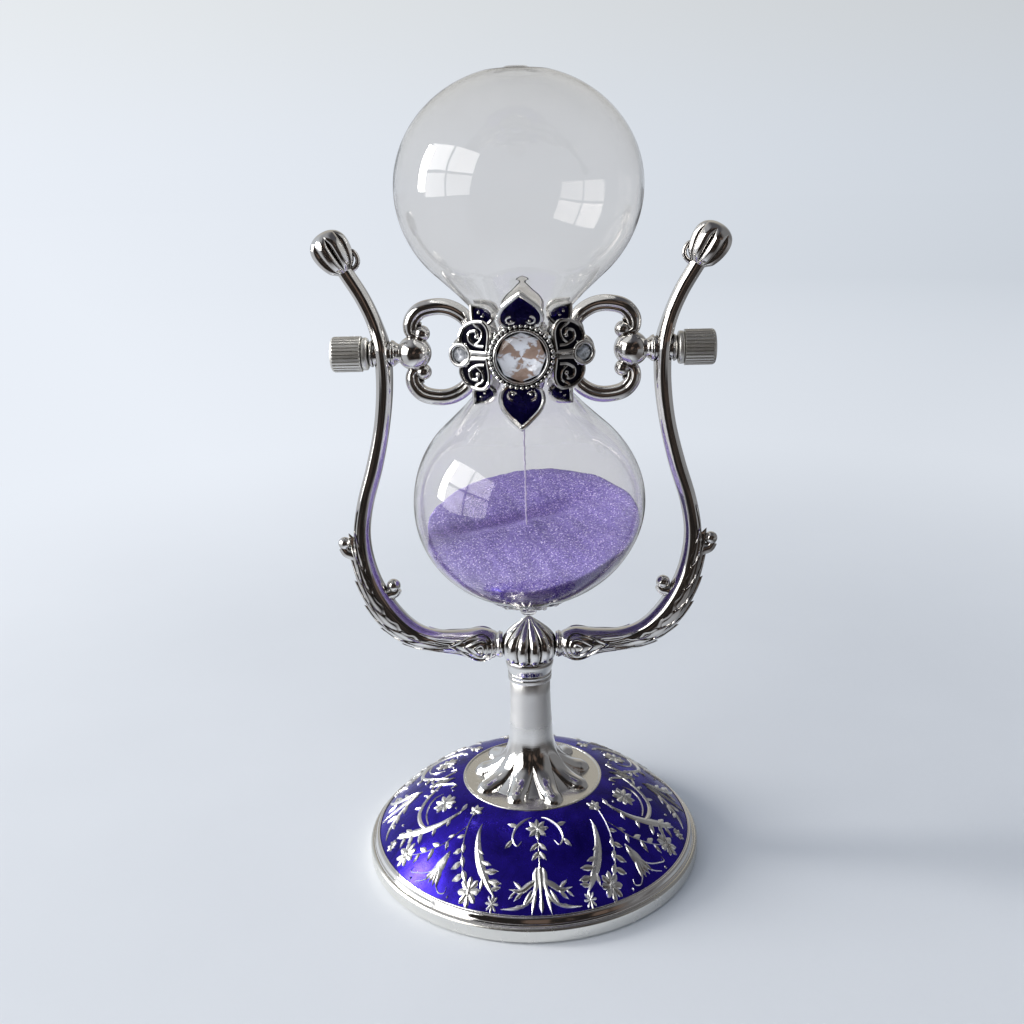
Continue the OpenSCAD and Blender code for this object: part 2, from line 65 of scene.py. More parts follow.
pivot_z = next(j for j in frame["joints"] if j["name"] == "hourglass_turn")["pos_m"][2] / MM
base_r = corner("base_rim", 1, 0)
dome_r = base_r - 2.6
dome_edge_z = 6
disc_z = corner("base_dome", 1, 2) + 0.1
disc_r = corner("foot_disc", 1, 0) + 0.1
dome_bulge = 2.6
stem_top_z = corner("stem", 1, 2)
stem_r = 5.35
bud_z = corner("hub_bud", 0, 2)
bud_tip_z = corner("hub_bud", 1, 2)
arm_in = corner("right_bushing", 0, 0) + 0.05
arm_out = corner("right_bushing", 1, 0) - 0.05
knob_x = corner("right_knob", 0, 0)
knob_end = corner("right_knob", 1, 0)
knob_r = corner("right_knob", 1, 1)
washer_r = corner("right_washer", 1, 1)
bulb_r = corner("upper_bulb", 1, 0)
spout_h = pivot_z - corner("lower_bulb", 0, 2)
small_stone_x = 14.2


# ---- mesh making ----

def smooth_line(points, steps):
    """A smooth curve through the points, which may have any number of values each."""
    p = np.asarray(points, float)
    p = np.vstack([2 * p[0] - p[1], p, 2 * p[-1] - p[-2]])
    t = (np.arange(steps) / steps)[:, None]
    out = []
    for a, b, c, d in zip(p, p[1:], p[2:], p[3:]):
        out.append(0.5 * (2 * b + (c - a) * t + (2 * a - 5 * b + 4 * c - d) * t**2
                          + (3 * b - 3 * c + d - a) * t**3))
    return np.vstack(out + [p[-2:-1]])


def rounded(profile, radius, steps=4):
    """A profile with each of its inner corners rounded."""
    p = np.asarray(profile, float)
    out = [p[0]]
    for a, b, c in zip(p, p[1:], p[2:]):
        u, v = a - b, c - b
        reach = min(radius, np.linalg.norm(u) * 0.45, np.linalg.norm(v) * 0.45)
        start, end = b + u / np.linalg.norm(u) * reach, b + v / np.linalg.norm(v) * reach
        for t in np.linspace(0, 1, steps):
            out.append((1 - t) ** 2 * start + 2 * t * (1 - t) * b + t**2 * end)
    return np.array(out + [p[-1]])


def smoothstep(x, low, high):
    t = np.clip((np.asarray(x, float) - low) / (high - low), 0, 1)
    return t * t * (3 - 2 * t)


def around(sides, start=0.0):
    return start + TURN * np.arange(sides) / sides


def ring(r, a, z):
    """Points at the angles a round the Z axis."""
    return np.stack(np.broadcast_arrays(r * np.cos(a), r * np.sin(a), z), -1)


def lathe(profile, sides):
    """Rings of a solid of revolution about Z, from its [radius, height] profile."""
    return np.array([ring(r, around(sides), z) for r, z in profile])


def turned(profile, origin, radius, sides):
    """A lathed form. Its profile starts from an origin, and its corners are rounded."""
    return Form().skin(lathe(rounded(np.array(profile) + origin, radius), sides), loop=True)


def tube(path, radii, sides=12, up=(0, 1, 0)):
    """Rings of a round bar along a path in space. up is a direction that the path never takes."""
    path = np.asarray(path, float)
    radii = np.broadcast_to(np.asarray(radii, float), len(path))[:, None, None]
    along = np.gradient(path, axis=0)
    along /= np.linalg.norm(along, axis=1)[:, None] + 1e-12
    side = np.cross(along, np.broadcast_to(np.asarray(up, float), path.shape))
    side /= np.linalg.norm(side, axis=1)[:, None] + 1e-12
    top = np.cross(side, along)
    a = around(sides)[None, :, None]
    return path[:, None] + radii * (side[:, None] * np.cos(a) + top[:, None] * np.sin(a))


def ball(centre, r, sides=24):
    arc = np.linspace(0.02, math.pi - 0.02, sides // 2 + 1)
    return lathe([[r * math.sin(t), -r * math.cos(t)] for t in arc], sides) + np.asarray(centre, float)


class Form:
    """The vertices and faces of one piece, in millimetres."""

    def __init__(self):
        self.points, self.faces, self.count = [], [], 0

    def add(self, points, faces):
        points = np.asarray(points, float).reshape(-1, 3)
        self.points.append(points)
        self.faces += [tuple(i + self.count for i in f) for f in faces]
        self.count += len(points)
        return self

    def skin(self, rings, ends=(True, True), loop=False):
        """Faces over closed rings of equally many points. loop joins the last ring to the first, otherwise
        ends says whether the first and the last ring are capped."""
        rings = np.asarray(rings, float)
        n, m = rings.shape[:2]
        points, faces = [rings.reshape(-1, 3)], []
        for i in range(n if loop else n - 1):
            low, high = i * m, (i + 1) % n * m
            faces += [(low + k, low + (k + 1) % m, high + (k + 1) % m, high + k) for k in range(m)]
        for last, capped in enumerate(ends):
            if capped and not loop:
                row, middle = last * (n - 1) * m, n * m + len(points) - 1
                points.append(rings[-last].mean(0)[None])
                for k in range(m):
                    side = (row + k, row + (k + 1) % m)
                    faces.append((middle, *(side if last else side[::-1])))
        return self.add(np.vstack(points), faces)

    def join(self, other):
        return self.add(other.all(), other.faces)

    def all(self):
        return np.vstack(self.points)

    def moved(self, change, flip=False):
        """A copy with its points changed by a function of an (n, 3) array."""
        return Form().add(change(self.all()), [f[::-1] for f in self.faces] if flip else self.faces)

    def mirrored(self):
        return self.moved(lambda p: p * [-1, 1, 1], flip=True)


def matrix(m):
    """A function that moves points by a 4 x 4 matrix."""
    m = np.array(m, float)
    return lambda p: p @ m[:3, :3].T + m[:3, 3]


def rotation(degrees, axis):
    return Matrix.Rotation(math.radians(degrees), 4, axis)


def shift(x, y, z):
    return Matrix.Translation((x, y, z))


# The slot of a material, where it isn't the one with the material's own name
slots = dict.fromkeys(("relief_silver", "collar_silver", "pale_silver", "bezel_silver", "knob_silver",
                       "gem_foil", "side_foil"), "bright_silver")
slots.update(stem_silver="satin_silver", falling_sand="lilac_sand", black_enamel="dark_enamel",
             crystal="clear_stone")


def show(name, form, material):
    """An object made from a form."""
    mesh = bpy.data.meshes.new(name)
    mesh.from_pydata((form.all() * MM).tolist(), [], form.faces)
    mesh.update()
    mesh.materials.append(material)
    obj = bpy.data.objects.new(name, mesh)
    bpy.context.scene.collection.objects.link(obj)
    return obj


def piece(name, form, material, body, replaces=(), sharp=38):
    """A piece that rides on a body."""
    obj = show(name, form, material)
    obj.data.polygons.foreach_set("use_smooth", [True] * len(obj.data.polygons))
    obj.data.set_sharp_from_angle(angle=math.radians(sharp))
    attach(obj, body)
    if replaces:
        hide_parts(*replaces)


# ---- materials ----

class Nodes:
    """Short ways to add nodes to a tree. A value is a number, a vector, a colour or another node's output."""

    def __init__(self, tree):
        self.tree = tree

    def put(self, socket, value):
        if isinstance(value, bpy.types.NodeSocket):
            self.tree.links.new(value, socket)
        else:
            socket.default_value = (*value, 1)[:4] if socket.type == "RGBA" else value

    def add(self, kind, inputs=(), **settings):
        n = self.tree.nodes.new("ShaderNode" + kind)
        for k, v in settings.items():
            setattr(n, k, v)
        for k, v in dict(inputs).items():
            self.put(n.inputs[k], v)
        return n

    def xyz(self, vector):
        return self.add("SeparateXYZ", {"Vector": vector}).outputs

    def noise(self, scale, detail=3.0, roughness=0.55, distortion=0.0, where=None):
        return self.add("TexNoise", {"Vector": where or self.where, "Scale": scale, "Detail": detail,
                                     "Roughness": roughness, "Distortion": distortion}).outputs["Fac"]

    def ramp(self, value, *stops):
        """Maps a value to a colour: each stop is (position, colour or grey level)."""
        n = self.add("ValToRGB", {"Fac": value})
        elements = n.color_ramp.elements
        while len(elements) < len(stops):
            elements.new(0.5)
        for e, (place, colour) in zip(elements, stops):
            e.position = place
            e.color = (*((colour,) * 3 if isinstance(colour, (int, float)) else colour), 1)
        return n.outputs["Color"]

    def cloud(self, scale, detail, *stops, **more):
        """Noise through a ramp."""
        return self.ramp(self.noise(scale, detail, **more), *stops)

    def span(self, value, low, high, start=0.0, end=1.0, smooth=False):
        """Maps low to start and high to end, and stops there."""
        kind = "SMOOTHSTEP" if smooth else "LINEAR"
        return self.add("MapRange", {"Value": value, "From Min": low, "From Max": high, "To Min": start,
                                     "To Max": end}, interpolation_type=kind).outputs[0]

    def math(self, kind, a, b=0.0, c=0.5):
        return self.add("Math", {0: a, 1: b, 2: c}, operation=kind).outputs[0]

    def mix(self, factor, a, b, blend="MIX"):
        return self.add("Mix", {0: factor, 6: a, 7: b}, data_type="RGBA", blend_type=blend).outputs[2]

    def glow(self, colour):
        return self.add("Emission", {"Color": colour}).outputs[0]

    def either(self, factor, a, b):
        """Shader b where the factor is 1, and a where it is 0."""
        return self.add("MixShader", {0: factor, 1: a, 2: b}).outputs[0]


class Shader(Nodes):
    """A material round one Principled shader."""

    def __init__(self, name):
        self.material = bpy.data.materials.new(name)
        self.material.use_nodes = True
        super().__init__(self.material.node_tree)
        self.bsdf = self.tree.nodes["Principled BSDF"]
        self.where = self.add("TexCoord").outputs["Object"]

    def set(self, **values):
        """Sets sockets of the Principled shader."""
        for k, v in values.items():
            self.put(self.bsdf.inputs[k.replace("_", " ")], v)
        return self.material

    def surface(self, shader):
        self.put(self.tree.nodes["Material Output"].inputs["Surface"], shader)
        return self.material

    def cells(self, scale, output="Distance"):
        return self.add("TexVoronoi", {"Vector": self.where, "Scale": scale}).outputs[output]

    def bump(self, height, distance, strength=1.0, normal=None):
        """A bump of a distance in millimetres, over another one if it is given."""
        under = {} if normal is None else {"Normal": normal}
        return self.add("Bump", {"Height": height, "Distance": distance * MM, "Strength": strength,
                                 **under}).outputs[0]


def plated(name, bright, dark, low, high, recess=0.9, wavy=0.02):
    """Polished plate over a casting: dark in its recesses, part tarnish and part painted shade, with faint
    waves, scratches and uneven gloss.
    """
    s = Shader(name)
    tone = s.mix(s.cloud(90, 4, (0.35, 0.0), (0.7, 1.0)), bright, [c * 0.93 for c in bright])
    # Darker in the recesses, part tarnish and part painted shade: the colour goes to dark where the surface
    # is hemmed in
    openness = s.add("AmbientOcclusion", {"Distance": recess * MM}, samples=4).outputs["AO"]
    waves = s.bump(s.noise(210, 2, 0.5), wavy)
    return s.set(Metallic=1.0, Base_Color=s.mix(s.ramp(openness, (0.3, 0.0), (0.78, 1.0)), dark, tone),
                 Roughness=s.cloud(260, 5, (0.3, low), (0.75, high), roughness=0.65),
                 Normal=s.bump(s.noise(2600, 3, 0.6), 0.004, 0.5, waves))


bright_silver = plated("bright_silver", (0.90, 0.885, 0.865), (0.16, 0.145, 0.13), 0.035, 0.11)
relief_silver = plated("relief_silver", (0.99, 0.985, 0.965), (0.5, 0.51, 0.52), 0.22, 0.40, recess=0.3,
                       wavy=0.1)
bezel_silver = plated("bezel_silver", (0.96, 0.955, 0.94), (0.06, 0.06, 0.065), 0.14, 0.26, recess=0.6)
knob_silver = plated("knob_silver", (0.92, 0.91, 0.87), (0.26, 0.25, 0.22), 0.34, 0.46, recess=0.35)
collar_silver = plated("collar_silver", (0.93, 0.92, 0.90), (0.012, 0.011, 0.014), 0.06, 0.15, recess=1.5)


def satin(name, colour, low, high, rings, polish=None):
    """Satin plate with faint rings left by turning. Below the height polish, in millimetres, it shines."""
    s = Shader(name)
    rough = s.cloud(300, 5, (0.3, low), (0.75, high), roughness=0.6)
    if polish:
        above = s.span(s.xyz(s.where)["Z"], (polish - 2) * MM, (polish + 3) * MM)
        rough = s.mix(above, (0.06, 0.06, 0.06), rough)
    squeezed = s.add("Mapping", {"Vector": s.where, "Scale": (1, 1, 60)}).outputs[0]
    fine = s.bump(s.noise(120, 4, 0.7, where=squeezed), 0.01 * rings)
    return s.set(Metallic=1.0, Roughness=rough, Normal=s.bump(s.noise(5000, 2), 0.006, 0.6, fine),
                 Base_Color=s.mix(s.cloud(60, 4, (0.35, 0.0), (0.7, 1.0)), colour,
                                  [c * 0.95 for c in colour]))


satin_silver = satin("satin_silver", (0.85, 0.84, 0.80), 0.20, 0.30, 1.0)
pale_silver = satin("pale_silver", (0.93, 0.93, 0.925), 0.35, 0.5, 0.3)
stem_silver = satin("stem_silver", (0.94, 0.93, 0.91), 0.30, 0.40, 1.0, polish=35)
turned_steel = satin("turned_steel", (0.55, 0.56, 0.58), 0.22, 0.38, 3.0)


def enamel(name, deep, light, rough, flow):
    """Glossy enamel that is thicker and darker in places, over a ground that shines through."""
    s = Shader(name)
    pools = s.cloud(flow, 4, (0.25, 0.0), (0.75, 1.0), roughness=0.6, distortion=0.6)
    return s.set(Base_Color=s.mix(pools, deep, light), Metallic=0.82, Specular_IOR_Level=0.1,
                 Roughness=s.cloud(400, 3, (0.3, rough), (0.7, rough + 0.12)), Coat_Weight=0.11,
                 Coat_Roughness=0.12, Coat_IOR=1.4, Normal=s.bump(s.noise(900, 3, 0.6), 0.03, 0.8),
                 Coat_Normal=s.bump(s.noise(160, 2), 0.03, 0.6))


cobalt_enamel = enamel("cobalt_enamel", (0.004, 0.0012, 0.055), (0.042, 0.02, 0.54), 0.2, 70)
dark_enamel = enamel("dark_enamel", (0.002, 0.001, 0.022), (0.006, 0.003, 0.065), 0.2, 300)
black_enamel = enamel("black_enamel", (0.001, 0.001, 0.002), (0.004, 0.003, 0.014), 0.2, 300)

# The valley in the sand runs along the line y = valley_y + valley_slope * x
valley_y, valley_slope = 8.6, 0.28


def sand_material(name):
    """Fine dyed sand: grains that differ in tone, some of which catch the light, with painted shade on its
    steep sides and in the valley.
    """
    s = Shader(name)
    grain = s.add("SeparateColor", {"Color": s.cells(4600, "Color")}).outputs
    tone = s.ramp(grain[0], (0.0, (0.07, 0.047, 0.22)), (0.45, (0.15, 0.107, 0.41)),
                  (0.85, (0.25, 0.195, 0.57)), (1.0, (0.8, 0.74, 1.0)))
    # painted shade: the colour darkens where the surface tilts away from straight up, on the sand's steep
    # sides
    up = s.xyz(s.add("NewGeometry").outputs["Normal"])["Z"]
    painted_shade = s.ramp(s.math("MULTIPLY_ADD", up, 0.5), (0.2, (0.66, 0.52, 0.78)), (0.62, (1.0, 1.0, 1.0)))
    x, y, _ = s.xyz(s.where)
    # painted shade: a darker band along the valley, fading out towards the right
    off = s.math("SUBTRACT", s.math("MULTIPLY_ADD", x, -valley_slope, y), (valley_y + 0.9) * MM)
    outside_valley_shade = s.math("MAXIMUM", s.span(x, -4 * MM, 19 * MM),
                       s.span(s.math("ABSOLUTE", off), 0.0, 4.2 * MM, smooth=True))
    painted_shade = s.mix(1.0, painted_shade, s.mix(outside_valley_shade, (0.47, 0.34, 0.60), (1.0, 1.0, 1.0)), "MULTIPLY")
    return s.set(Base_Color=s.mix(1.0, tone, painted_shade, "MULTIPLY"),
                 Roughness=s.ramp(grain[1], (0.88, 0.75), (0.97, 0.16)),
                 Normal=s.bump(s.cells(4600), 0.1, 0.9), Specular_IOR_Level=0.6)


lilac_sand = sand_material("lilac_sand")


def glass(name, tint, ior, ripple):
    """Clear glass that lets the lamps' light through to what is behind it."""
    s = Shader(name)
    s.set(Base_Color=tint, Roughness=0.0, IOR=ior, Transmission_Weight=1.0,
          Normal=s.bump(s.noise(55, 2, 0.5), ripple))
    clear = s.add("BsdfTransparent", {"Color": (0.93, 0.935, 0.94)}).outputs[0]
    return s.surface(s.either(s.add("LightPath").outputs["Is Shadow Ray"], s.bsdf.outputs[0], clear))


clear_glass = glass("clear_glass", (0.92, 0.905, 0.89), 1.46, 0.14)
crystal = glass("crystal", (0.99, 0.985, 0.98), 1.62, 0.0)


def plain(name, dark, light, scale, metallic, low, high, bump_scale, depth):
    """A rough material with two tones of noise and a fine bump."""
    s = Shader(name)
    return s.set(Base_Color=s.mix(s.cloud(scale, 5, (0.3, 0.0), (0.72, 1.0), roughness=0.65), dark, light),
                 Metallic=metallic, Roughness=s.cloud(scale * 2, 3, (0.3, low), (0.7, high)),
                 Normal=s.bump(s.noise(bump_scale, 4, 0.7), depth, 0.9))


ballast_iron = plain("ballast_iron", (0.03, 0.03, 0.032), (0.07, 0.07, 0.075), 300, 0.6, 0.55, 0.8, 900, 0.15)
grey_felt = plain("grey_felt", (0.012, 0.012, 0.016), (0.045, 0.045, 0.055), 1500, 0.0, 0.9, 1.0, 3500, 0.3)
falling_sand = plain("falling_sand", (0.34, 0.30, 0.46), (0.56, 0.52, 0.68), 2500, 0.0, 0.4, 0.7, 5000, 0.1)
clear_rubber = plain("clear_rubber", (0.32, 0.33, 0.35), (0.42, 0.43, 0.45), 200, 0.0, 0.5, 0.65, 1500, 0.03)
side_foil = plain("side_foil", (0.05, 0.055, 0.06), (0.62, 0.64, 0.69), 900, 0.4, 0.08, 0.2, 1300, 0.06)


def foil_material(name):
    """Silvered backs of the large stones, with brown and pale patches painted in as the reflections that a
    cut stone shows.
    """
    s = Shader(name)
    x, _, z = s.xyz(s.where)
    round_it = s.math("ARCTAN2", s.math("SUBTRACT", z, pivot_z * MM), x)
    lobes = s.math("SINE", s.math("MULTIPLY_ADD", round_it, 3.0, 0.3))
    patches = s.math("MULTIPLY_ADD", lobes, 0.17, s.noise(330, 2, 0.6, 1.6))
    # painted reflections: brown patches in three lobes round the stone's middle, pale facets between them
    tone = s.ramp(patches, (0.42, (0.84, 0.87, 0.94)), (0.52, (0.55, 0.55, 0.60)),
                  (0.57, (0.38, 0.27, 0.215)), (0.95, (0.30, 0.20, 0.155)))
    return s.set(Base_Color=tone, Metallic=0.3, Roughness=s.cloud(900, 3, (0.3, 0.1), (0.7, 0.25)),
                 Normal=s.bump(s.noise(700, 3), 0.04))


gem_foil = foil_material("gem_foil")


# ---- base ----

pattern_turn = 3.5      # the base is turned by this much, in degrees


def dome_height(r):
    """Height of the enamelled dome at a radius."""
    t = (np.asarray(r, float) - disc_r) / (dome_r - disc_r)
    return disc_z - 0.1 + (dome_edge_z - disc_z + 0.1) * t + 4 * dome_bulge * t * (1 - t)


def on_dome(angle, r, lift=0.0):
    """A point over the dome, lifted along its normal."""
    angle, r = np.asarray(angle, float), np.asarray(r, float)
    slope = (dome_height(r + 0.01) - dome_height(r - 0.01)) / 0.02
    length = np.sqrt(1 + slope**2)
    out = r - slope / length * lift
    a = np.radians(angle)
    return np.stack(np.broadcast_arrays(out * np.sin(a), -out * np.cos(a), dome_height(r) + lift / length),
                    -1)


def base_band():
    """The satin band that the base stands on."""
    return turned([[-5, 1.3], [-2.65, 1.3], [-2.65, 0.25], [-0.35, 0.25], [0, 0.75], [0, 3.7], [-0.45, 4.2],
                   [-1.0, 4.3], [-1.0, 3.4], [-5, 3.4]], (base_r, 0), 0.3, 192)


def base_bead():
    """The polished moulding between the band and the enamel: a hollow, a bead and a thin lip."""
    return turned([[-5, 3.5], [-0.95, 3.5], [-0.95, 4.35], [-1.15, 4.75], [-1.3, 4.7], [-1.45, 4.95],
                   [-1.75, 5.75], [-2.05, 6.1], [-2.3, 6.05], [-2.38, 6.25], [-2.6, 6.32], [-2.72, 6.15],
                   [-2.72, 5.6], [-5, 5.0]], (base_r, 0), 0.12, 192)


def base_enamel():
    """The enamel skin over the dome."""
    rows = [[r, float(dome_height(r))] for r in np.linspace(disc_r - 0.2, dome_r - 0.05, 40)]
    under = [[dome_r - 0.1, dome_edge_z - 1.2], [disc_r - 0.2, disc_z - 1.5]]
    return Form().skin(lathe(rows + under, 192), loop=True)


def foot_disc():
    """The satin disc on the dome, with a thin raised line round its edge."""
    return turned([[1 - disc_r, -1.2], [-0.12, -1.2], [-0.1, 0.12], [-0.25, 0.3], [-0.62, 0.3], [-0.78, 0.12],
                   [-0.95, 0.02], [-1.25, 0.05], [1 - disc_r, 0.05]], (disc_r, disc_z - 0.1), 0.12, 160)


class Relief:
    """Raised silver drawn on the dome. A mark is repeated in all four quarters, every second one mirrored."""

    height = 0.4

    def __init__(self):
        self.form = Form()

    def stroke(self, points, steps=5, height=None):
        """A tapering ridge. Each point is (angle, radius, half width)."""
        height = height or self.height
        line = smooth_line(points, steps)
        angle, r, half = line[:, 0], line[:, 1], np.maximum(line[:, 2], 0.02)
        across = np.radians(np.gradient(angle)) * r
        outward = np.gradient(r)
        length = np.hypot(across, outward) + 1e-9
        side_r, side_a = -across / length, outward / length
        tall = height * np.clip(half / 0.28, 0.35, 1.0)
        for turn in (0, 180):
            for sign in (1, -1):
                rows = []
                for v, up in ((-1, -0.15), (-0.62, 0.55), (0, 1.0), (0.62, 0.55), (1, -0.15), (0, -0.6)):
                    rr = r + side_r * half * v
                    aa = angle + np.degrees(side_a * half * v / rr)
                    lift = tall * up if up > 0 else np.full(len(rr), up)
                    rows.append(on_dome(pattern_turn + turn + sign * aa, rr, lift))
                rings = np.stack(rows, 1)
                self.form.skin(rings[:, ::-1] if sign > 0 else rings)

    def mark(self, at, points, turn=0.0, height=None):
        """A stroke in millimetres about a place (angle, radius): x along the rim, y outwards, then turned."""
        c, s = math.cos(math.radians(turn)), math.sin(math.radians(turn))
        out = []
        for x, y, half in points:
            x, y = c * x - s * y, s * x + c * y
            r = at[1] + y
            out.append((at[0] + math.degrees(x / r), r, half))
        self.stroke(out, 4, height)

    def dot(self, at, r):
        self.mark(at, [(0, -r, 0.05), (0, -r * 0.6, r * 0.8), (0, 0, r), (0, r * 0.6, r * 0.8), (0, r, 0.05)])

    def flower(self, at, petals, r, turn=0.0, heart=0.55, fat=0.55):
        """An open flower: petals round a heart."""
        for k in range(petals):
            self.mark(at, [(0, heart * 0.5, 0.16), (0, r * 0.45, fat * 0.9), (0, r * 0.85, fat * 1.15),
                           (0, r * 1.12, 0.14)], turn + 360 * k / petals)
        self.mark(at, [(0, -heart, 0.06), (0, -heart * 0.5, heart * 0.8), (0, 0, heart),
                       (0, heart * 0.5, heart * 0.8), (0, heart, 0.06)], turn, height=0.5)

    def leaves(self, *leaves):
        """Pointed leaves: each is the place it grows from, its turn from straight outwards, length, width."""
        for angle, r, turn, long, wide in leaves:
            self.mark((angle, r), [(0, 0, 0.12), (0, long * 0.34, wide * 0.74), (0, long * 0.68, wide * 0.8),
                                   (0, long * 1.12, 0.06)], turn)


def base_relief():
    """Flowers, sprigs, tulips and acanthus scrolls, as one pattern. Places are (angle, radius)."""
    d = Relief()
    # the drooping lily in the middle, on the line where the pattern mirrors
    d.stroke([(0, 33.4, 0.3), (0, 34.3, 0.85), (0, 36, 0.9), (0, 37.8, 0.55), (0, 39.4, 0.45), (0, 40.8, 0.8),
              (0, 42.1, 0.08)], height=0.55)
    d.stroke([(1.3, 33.9, 0.3), (1.8, 34.9, 0.75), (1.8, 36.2, 0.8), (1.9, 37.6, 0.65), (3.2, 39.3, 0.5),
              (5.6, 40.5, 0.42), (9.2, 41.2, 0.4), (13.8, 41.5, 0.07)])
    d.stroke([(2.2, 36.4, 0.5), (4.6, 37.2, 0.75), (7.6, 38.2, 0.6), (11.8, 38.0, 0.06)])
    d.leaves((1.6, 37.6, -16, 4.2, 0.7), (3.4, 38.0, -36, 3.4, 0.7), (6.4, 38.2, -52, 2.6, 0.6),
             (6.4, 40.8, -84, 2.0, 0.5), (7.0, 37.8, -120, 2.2, 0.6), (9.4, 38.4, -50, 1.8, 0.45))
    # the upright palmette over it, against the disc
    d.leaves((0, 24.6, 0, 2.9, 0.95), (0, 24.6, -45, 2.7, 0.95), (0, 24.6, -90, 2.6, 0.95),
             (0, 24.6, -135, 2.5, 0.95), (0, 24.6, 180, 2.6, 0.95))
    d.mark((0, 24.6), [(0, -0.8, 0.1), (0, 0, 0.8), (0, 0.8, 0.1)], height=0.5)
    d.stroke([(0, 27, 0.1), (0, 29.6, 0.2), (0, 33.6, 0.2)])
    d.leaves((0.2, 28.4, -48, 2.4, 0.8), (0.2, 30.4, -42, 2.3, 0.8))
    d.stroke([(3.4, 21.2, 0.1), (8, 22.2, 0.34), (12.4, 24.4, 0.4), (13.4, 27.4, 0.34), (10.6, 29.2, 0.26),
              (8.4, 28, 0.1)])
    d.leaves((11.6, 24, -95, 2.4, 0.8), (13.2, 27.8, -35, 2.4, 0.8))
    d.flower((17.2, 40.8), 8, 1.45, heart=0.3, fat=0.3)
    # the half acanthus leaf beside it
    d.stroke([(33.4, 25.2, 0.1), (32, 28, 0.6), (29, 31.2, 1.0), (25, 34.4, 1.2), (20.8, 37.2, 0.9),
              (16.4, 39.9, 0.1)])
    d.leaves((25.4, 33.6, 84, 2.6, 0.7), (22.8, 35.4, 98, 3.3, 0.9), (20.4, 37, 88, 3.2, 0.9),
             (18.6, 38.4, 104, 2.2, 0.7), (22.6, 36.4, 4, 2.4, 0.7), (28.6, 31.4, 70, 1.8, 0.5))
    # two sprigs from one bud near the disc
    bud = (43.5, 22.6)
    d.leaves(*((*bud, turn, long, 0.8) for turn, long in
               ((150, 2.0), (205, 1.9), (95, 1.8), (255, 1.7), (25, 1.3), (-30, 1.3))))
    d.dot(bud, 0.42)
    d.stroke([(43.5, 22.6, 0.16), (41.8, 25.4, 0.17), (39.4, 28.6, 0.2), (36.8, 31.6, 0.17),
              (33.6, 34.8, 0.17), (29, 38.2, 0.14)])
    d.leaves((38.8, 29.2, -52, 1.9, 0.7), (37.4, 31, 38, 2.2, 0.75), (36.2, 32.2, -46, 2.2, 0.85),
             (34.9, 33.5, 40, 2.5, 0.8), (33.6, 34.7, -44, 2.6, 0.95), (32, 36.1, 48, 2.7, 0.9),
             (30.9, 36.9, -52, 2.6, 1.0))
    d.stroke([(40.9, 27, 0.1), (43.4, 29.6, 0.16), (45.6, 32.2, 0.17), (49.6, 34.8, 0.16), (54, 37, 0.15),
              (58.4, 38.6, 0.1)])
    d.leaves((43.6, 30, -50, 1.8, 0.6), (45.4, 32, 30, 2.0, 0.65), (47.4, 33.6, -78, 2.4, 0.8),
             (49.6, 34.8, 10, 2.5, 0.8), (52, 36, -84, 2.3, 0.8), (54.4, 37.1, 0, 2.0, 0.7))
    d.flower((26.6, 39.6), 8, 2.5, 10, heart=0.75, fat=0.66)
    d.flower((60.4, 39), 8, 2.4, 0, heart=0.7, fat=0.62)
    # the tulip between the sprigs
    d.stroke([(41.2, 33.6, 0.1), (41.5, 35, 0.9), (42, 36.8, 1.6), (42.4, 38.4, 1.3), (42.6, 40, 0.2)])
    for turn, long, bend in ((-46, 4.2, -1.0), (-18, 3.8, -0.3), (12, 3.9, 0.3), (38, 4.2, 1.0)):
        d.mark((42, 37), [(0, 0, 0.6), (bend * 0.2, long * 0.4, 0.75), (bend * 0.7, long * 0.75, 0.5),
                          (bend, long, 0.06)], turn)
    d.stroke([(43.6, 38.2, 0.2), (46.6, 39.4, 0.18), (50.2, 40.2, 0.17), (53, 40.6, 0.16),
              (53.2, 39.6, 0.06)])
    d.stroke([(43.4, 39, 0.2), (45.8, 40.6, 0.16), (49, 41.6, 0.1)])
    d.stroke([(41, 38.8, 0.2), (39.8, 40.4, 0.17), (37.6, 41.4, 0.15), (35.4, 41, 0.14), (35.6, 40, 0.06)])
    d.dot((51.6, 41.6), 0.3)
    d.dot((33.8, 41.5), 0.28)
    # the large scroll with its acanthus leaf, and the flower inside it
    d.stroke([(51.4, 23.2, 0.1), (52.8, 26.4, 0.55), (55.6, 29.6, 0.85), (60, 32.4, 1.0), (64.6, 34.8, 1.15),
              (69.6, 37.4, 0.8), (71.6, 38.8, 0.08)])
    d.stroke([(60.6, 32.8, 0.5), (66.8, 32.9, 0.6), (73, 32.1, 0.6), (78, 30.1, 0.58), (82, 27.6, 0.5),
              (86, 25, 0.4), (88.4, 22.8, 0.08)])
    d.stroke([(62, 31.8, 0.2), (68, 30.9, 0.24), (73.4, 29.2, 0.24), (76.2, 27.0, 0.22), (76, 24.8, 0.07)])
    d.leaves((62.4, 34, 55, 3.0, 0.9), (65.6, 35.6, 45, 2.8, 0.9), (68, 36.8, 30, 2.6, 0.8),
             (66, 35.6, -80, 2.8, 0.9), (68.8, 36.8, -62, 2.3, 0.8), (53.6, 27.6, 30, 2.0, 0.6),
             (57.4, 31, 40, 2.3, 0.7), (51.8, 24.4, -165, 2.2, 0.8), (80.6, 28.6, -70, 1.9, 0.6),
             (76.4, 31, -40, 2.0, 0.6))
    d.flower((66.6, 25.8), 9, 2.7, 20, heart=0.8, fat=0.66)
    d.flower((70.8, 40.3), 7, 1.2, heart=0.3, fat=0.36)
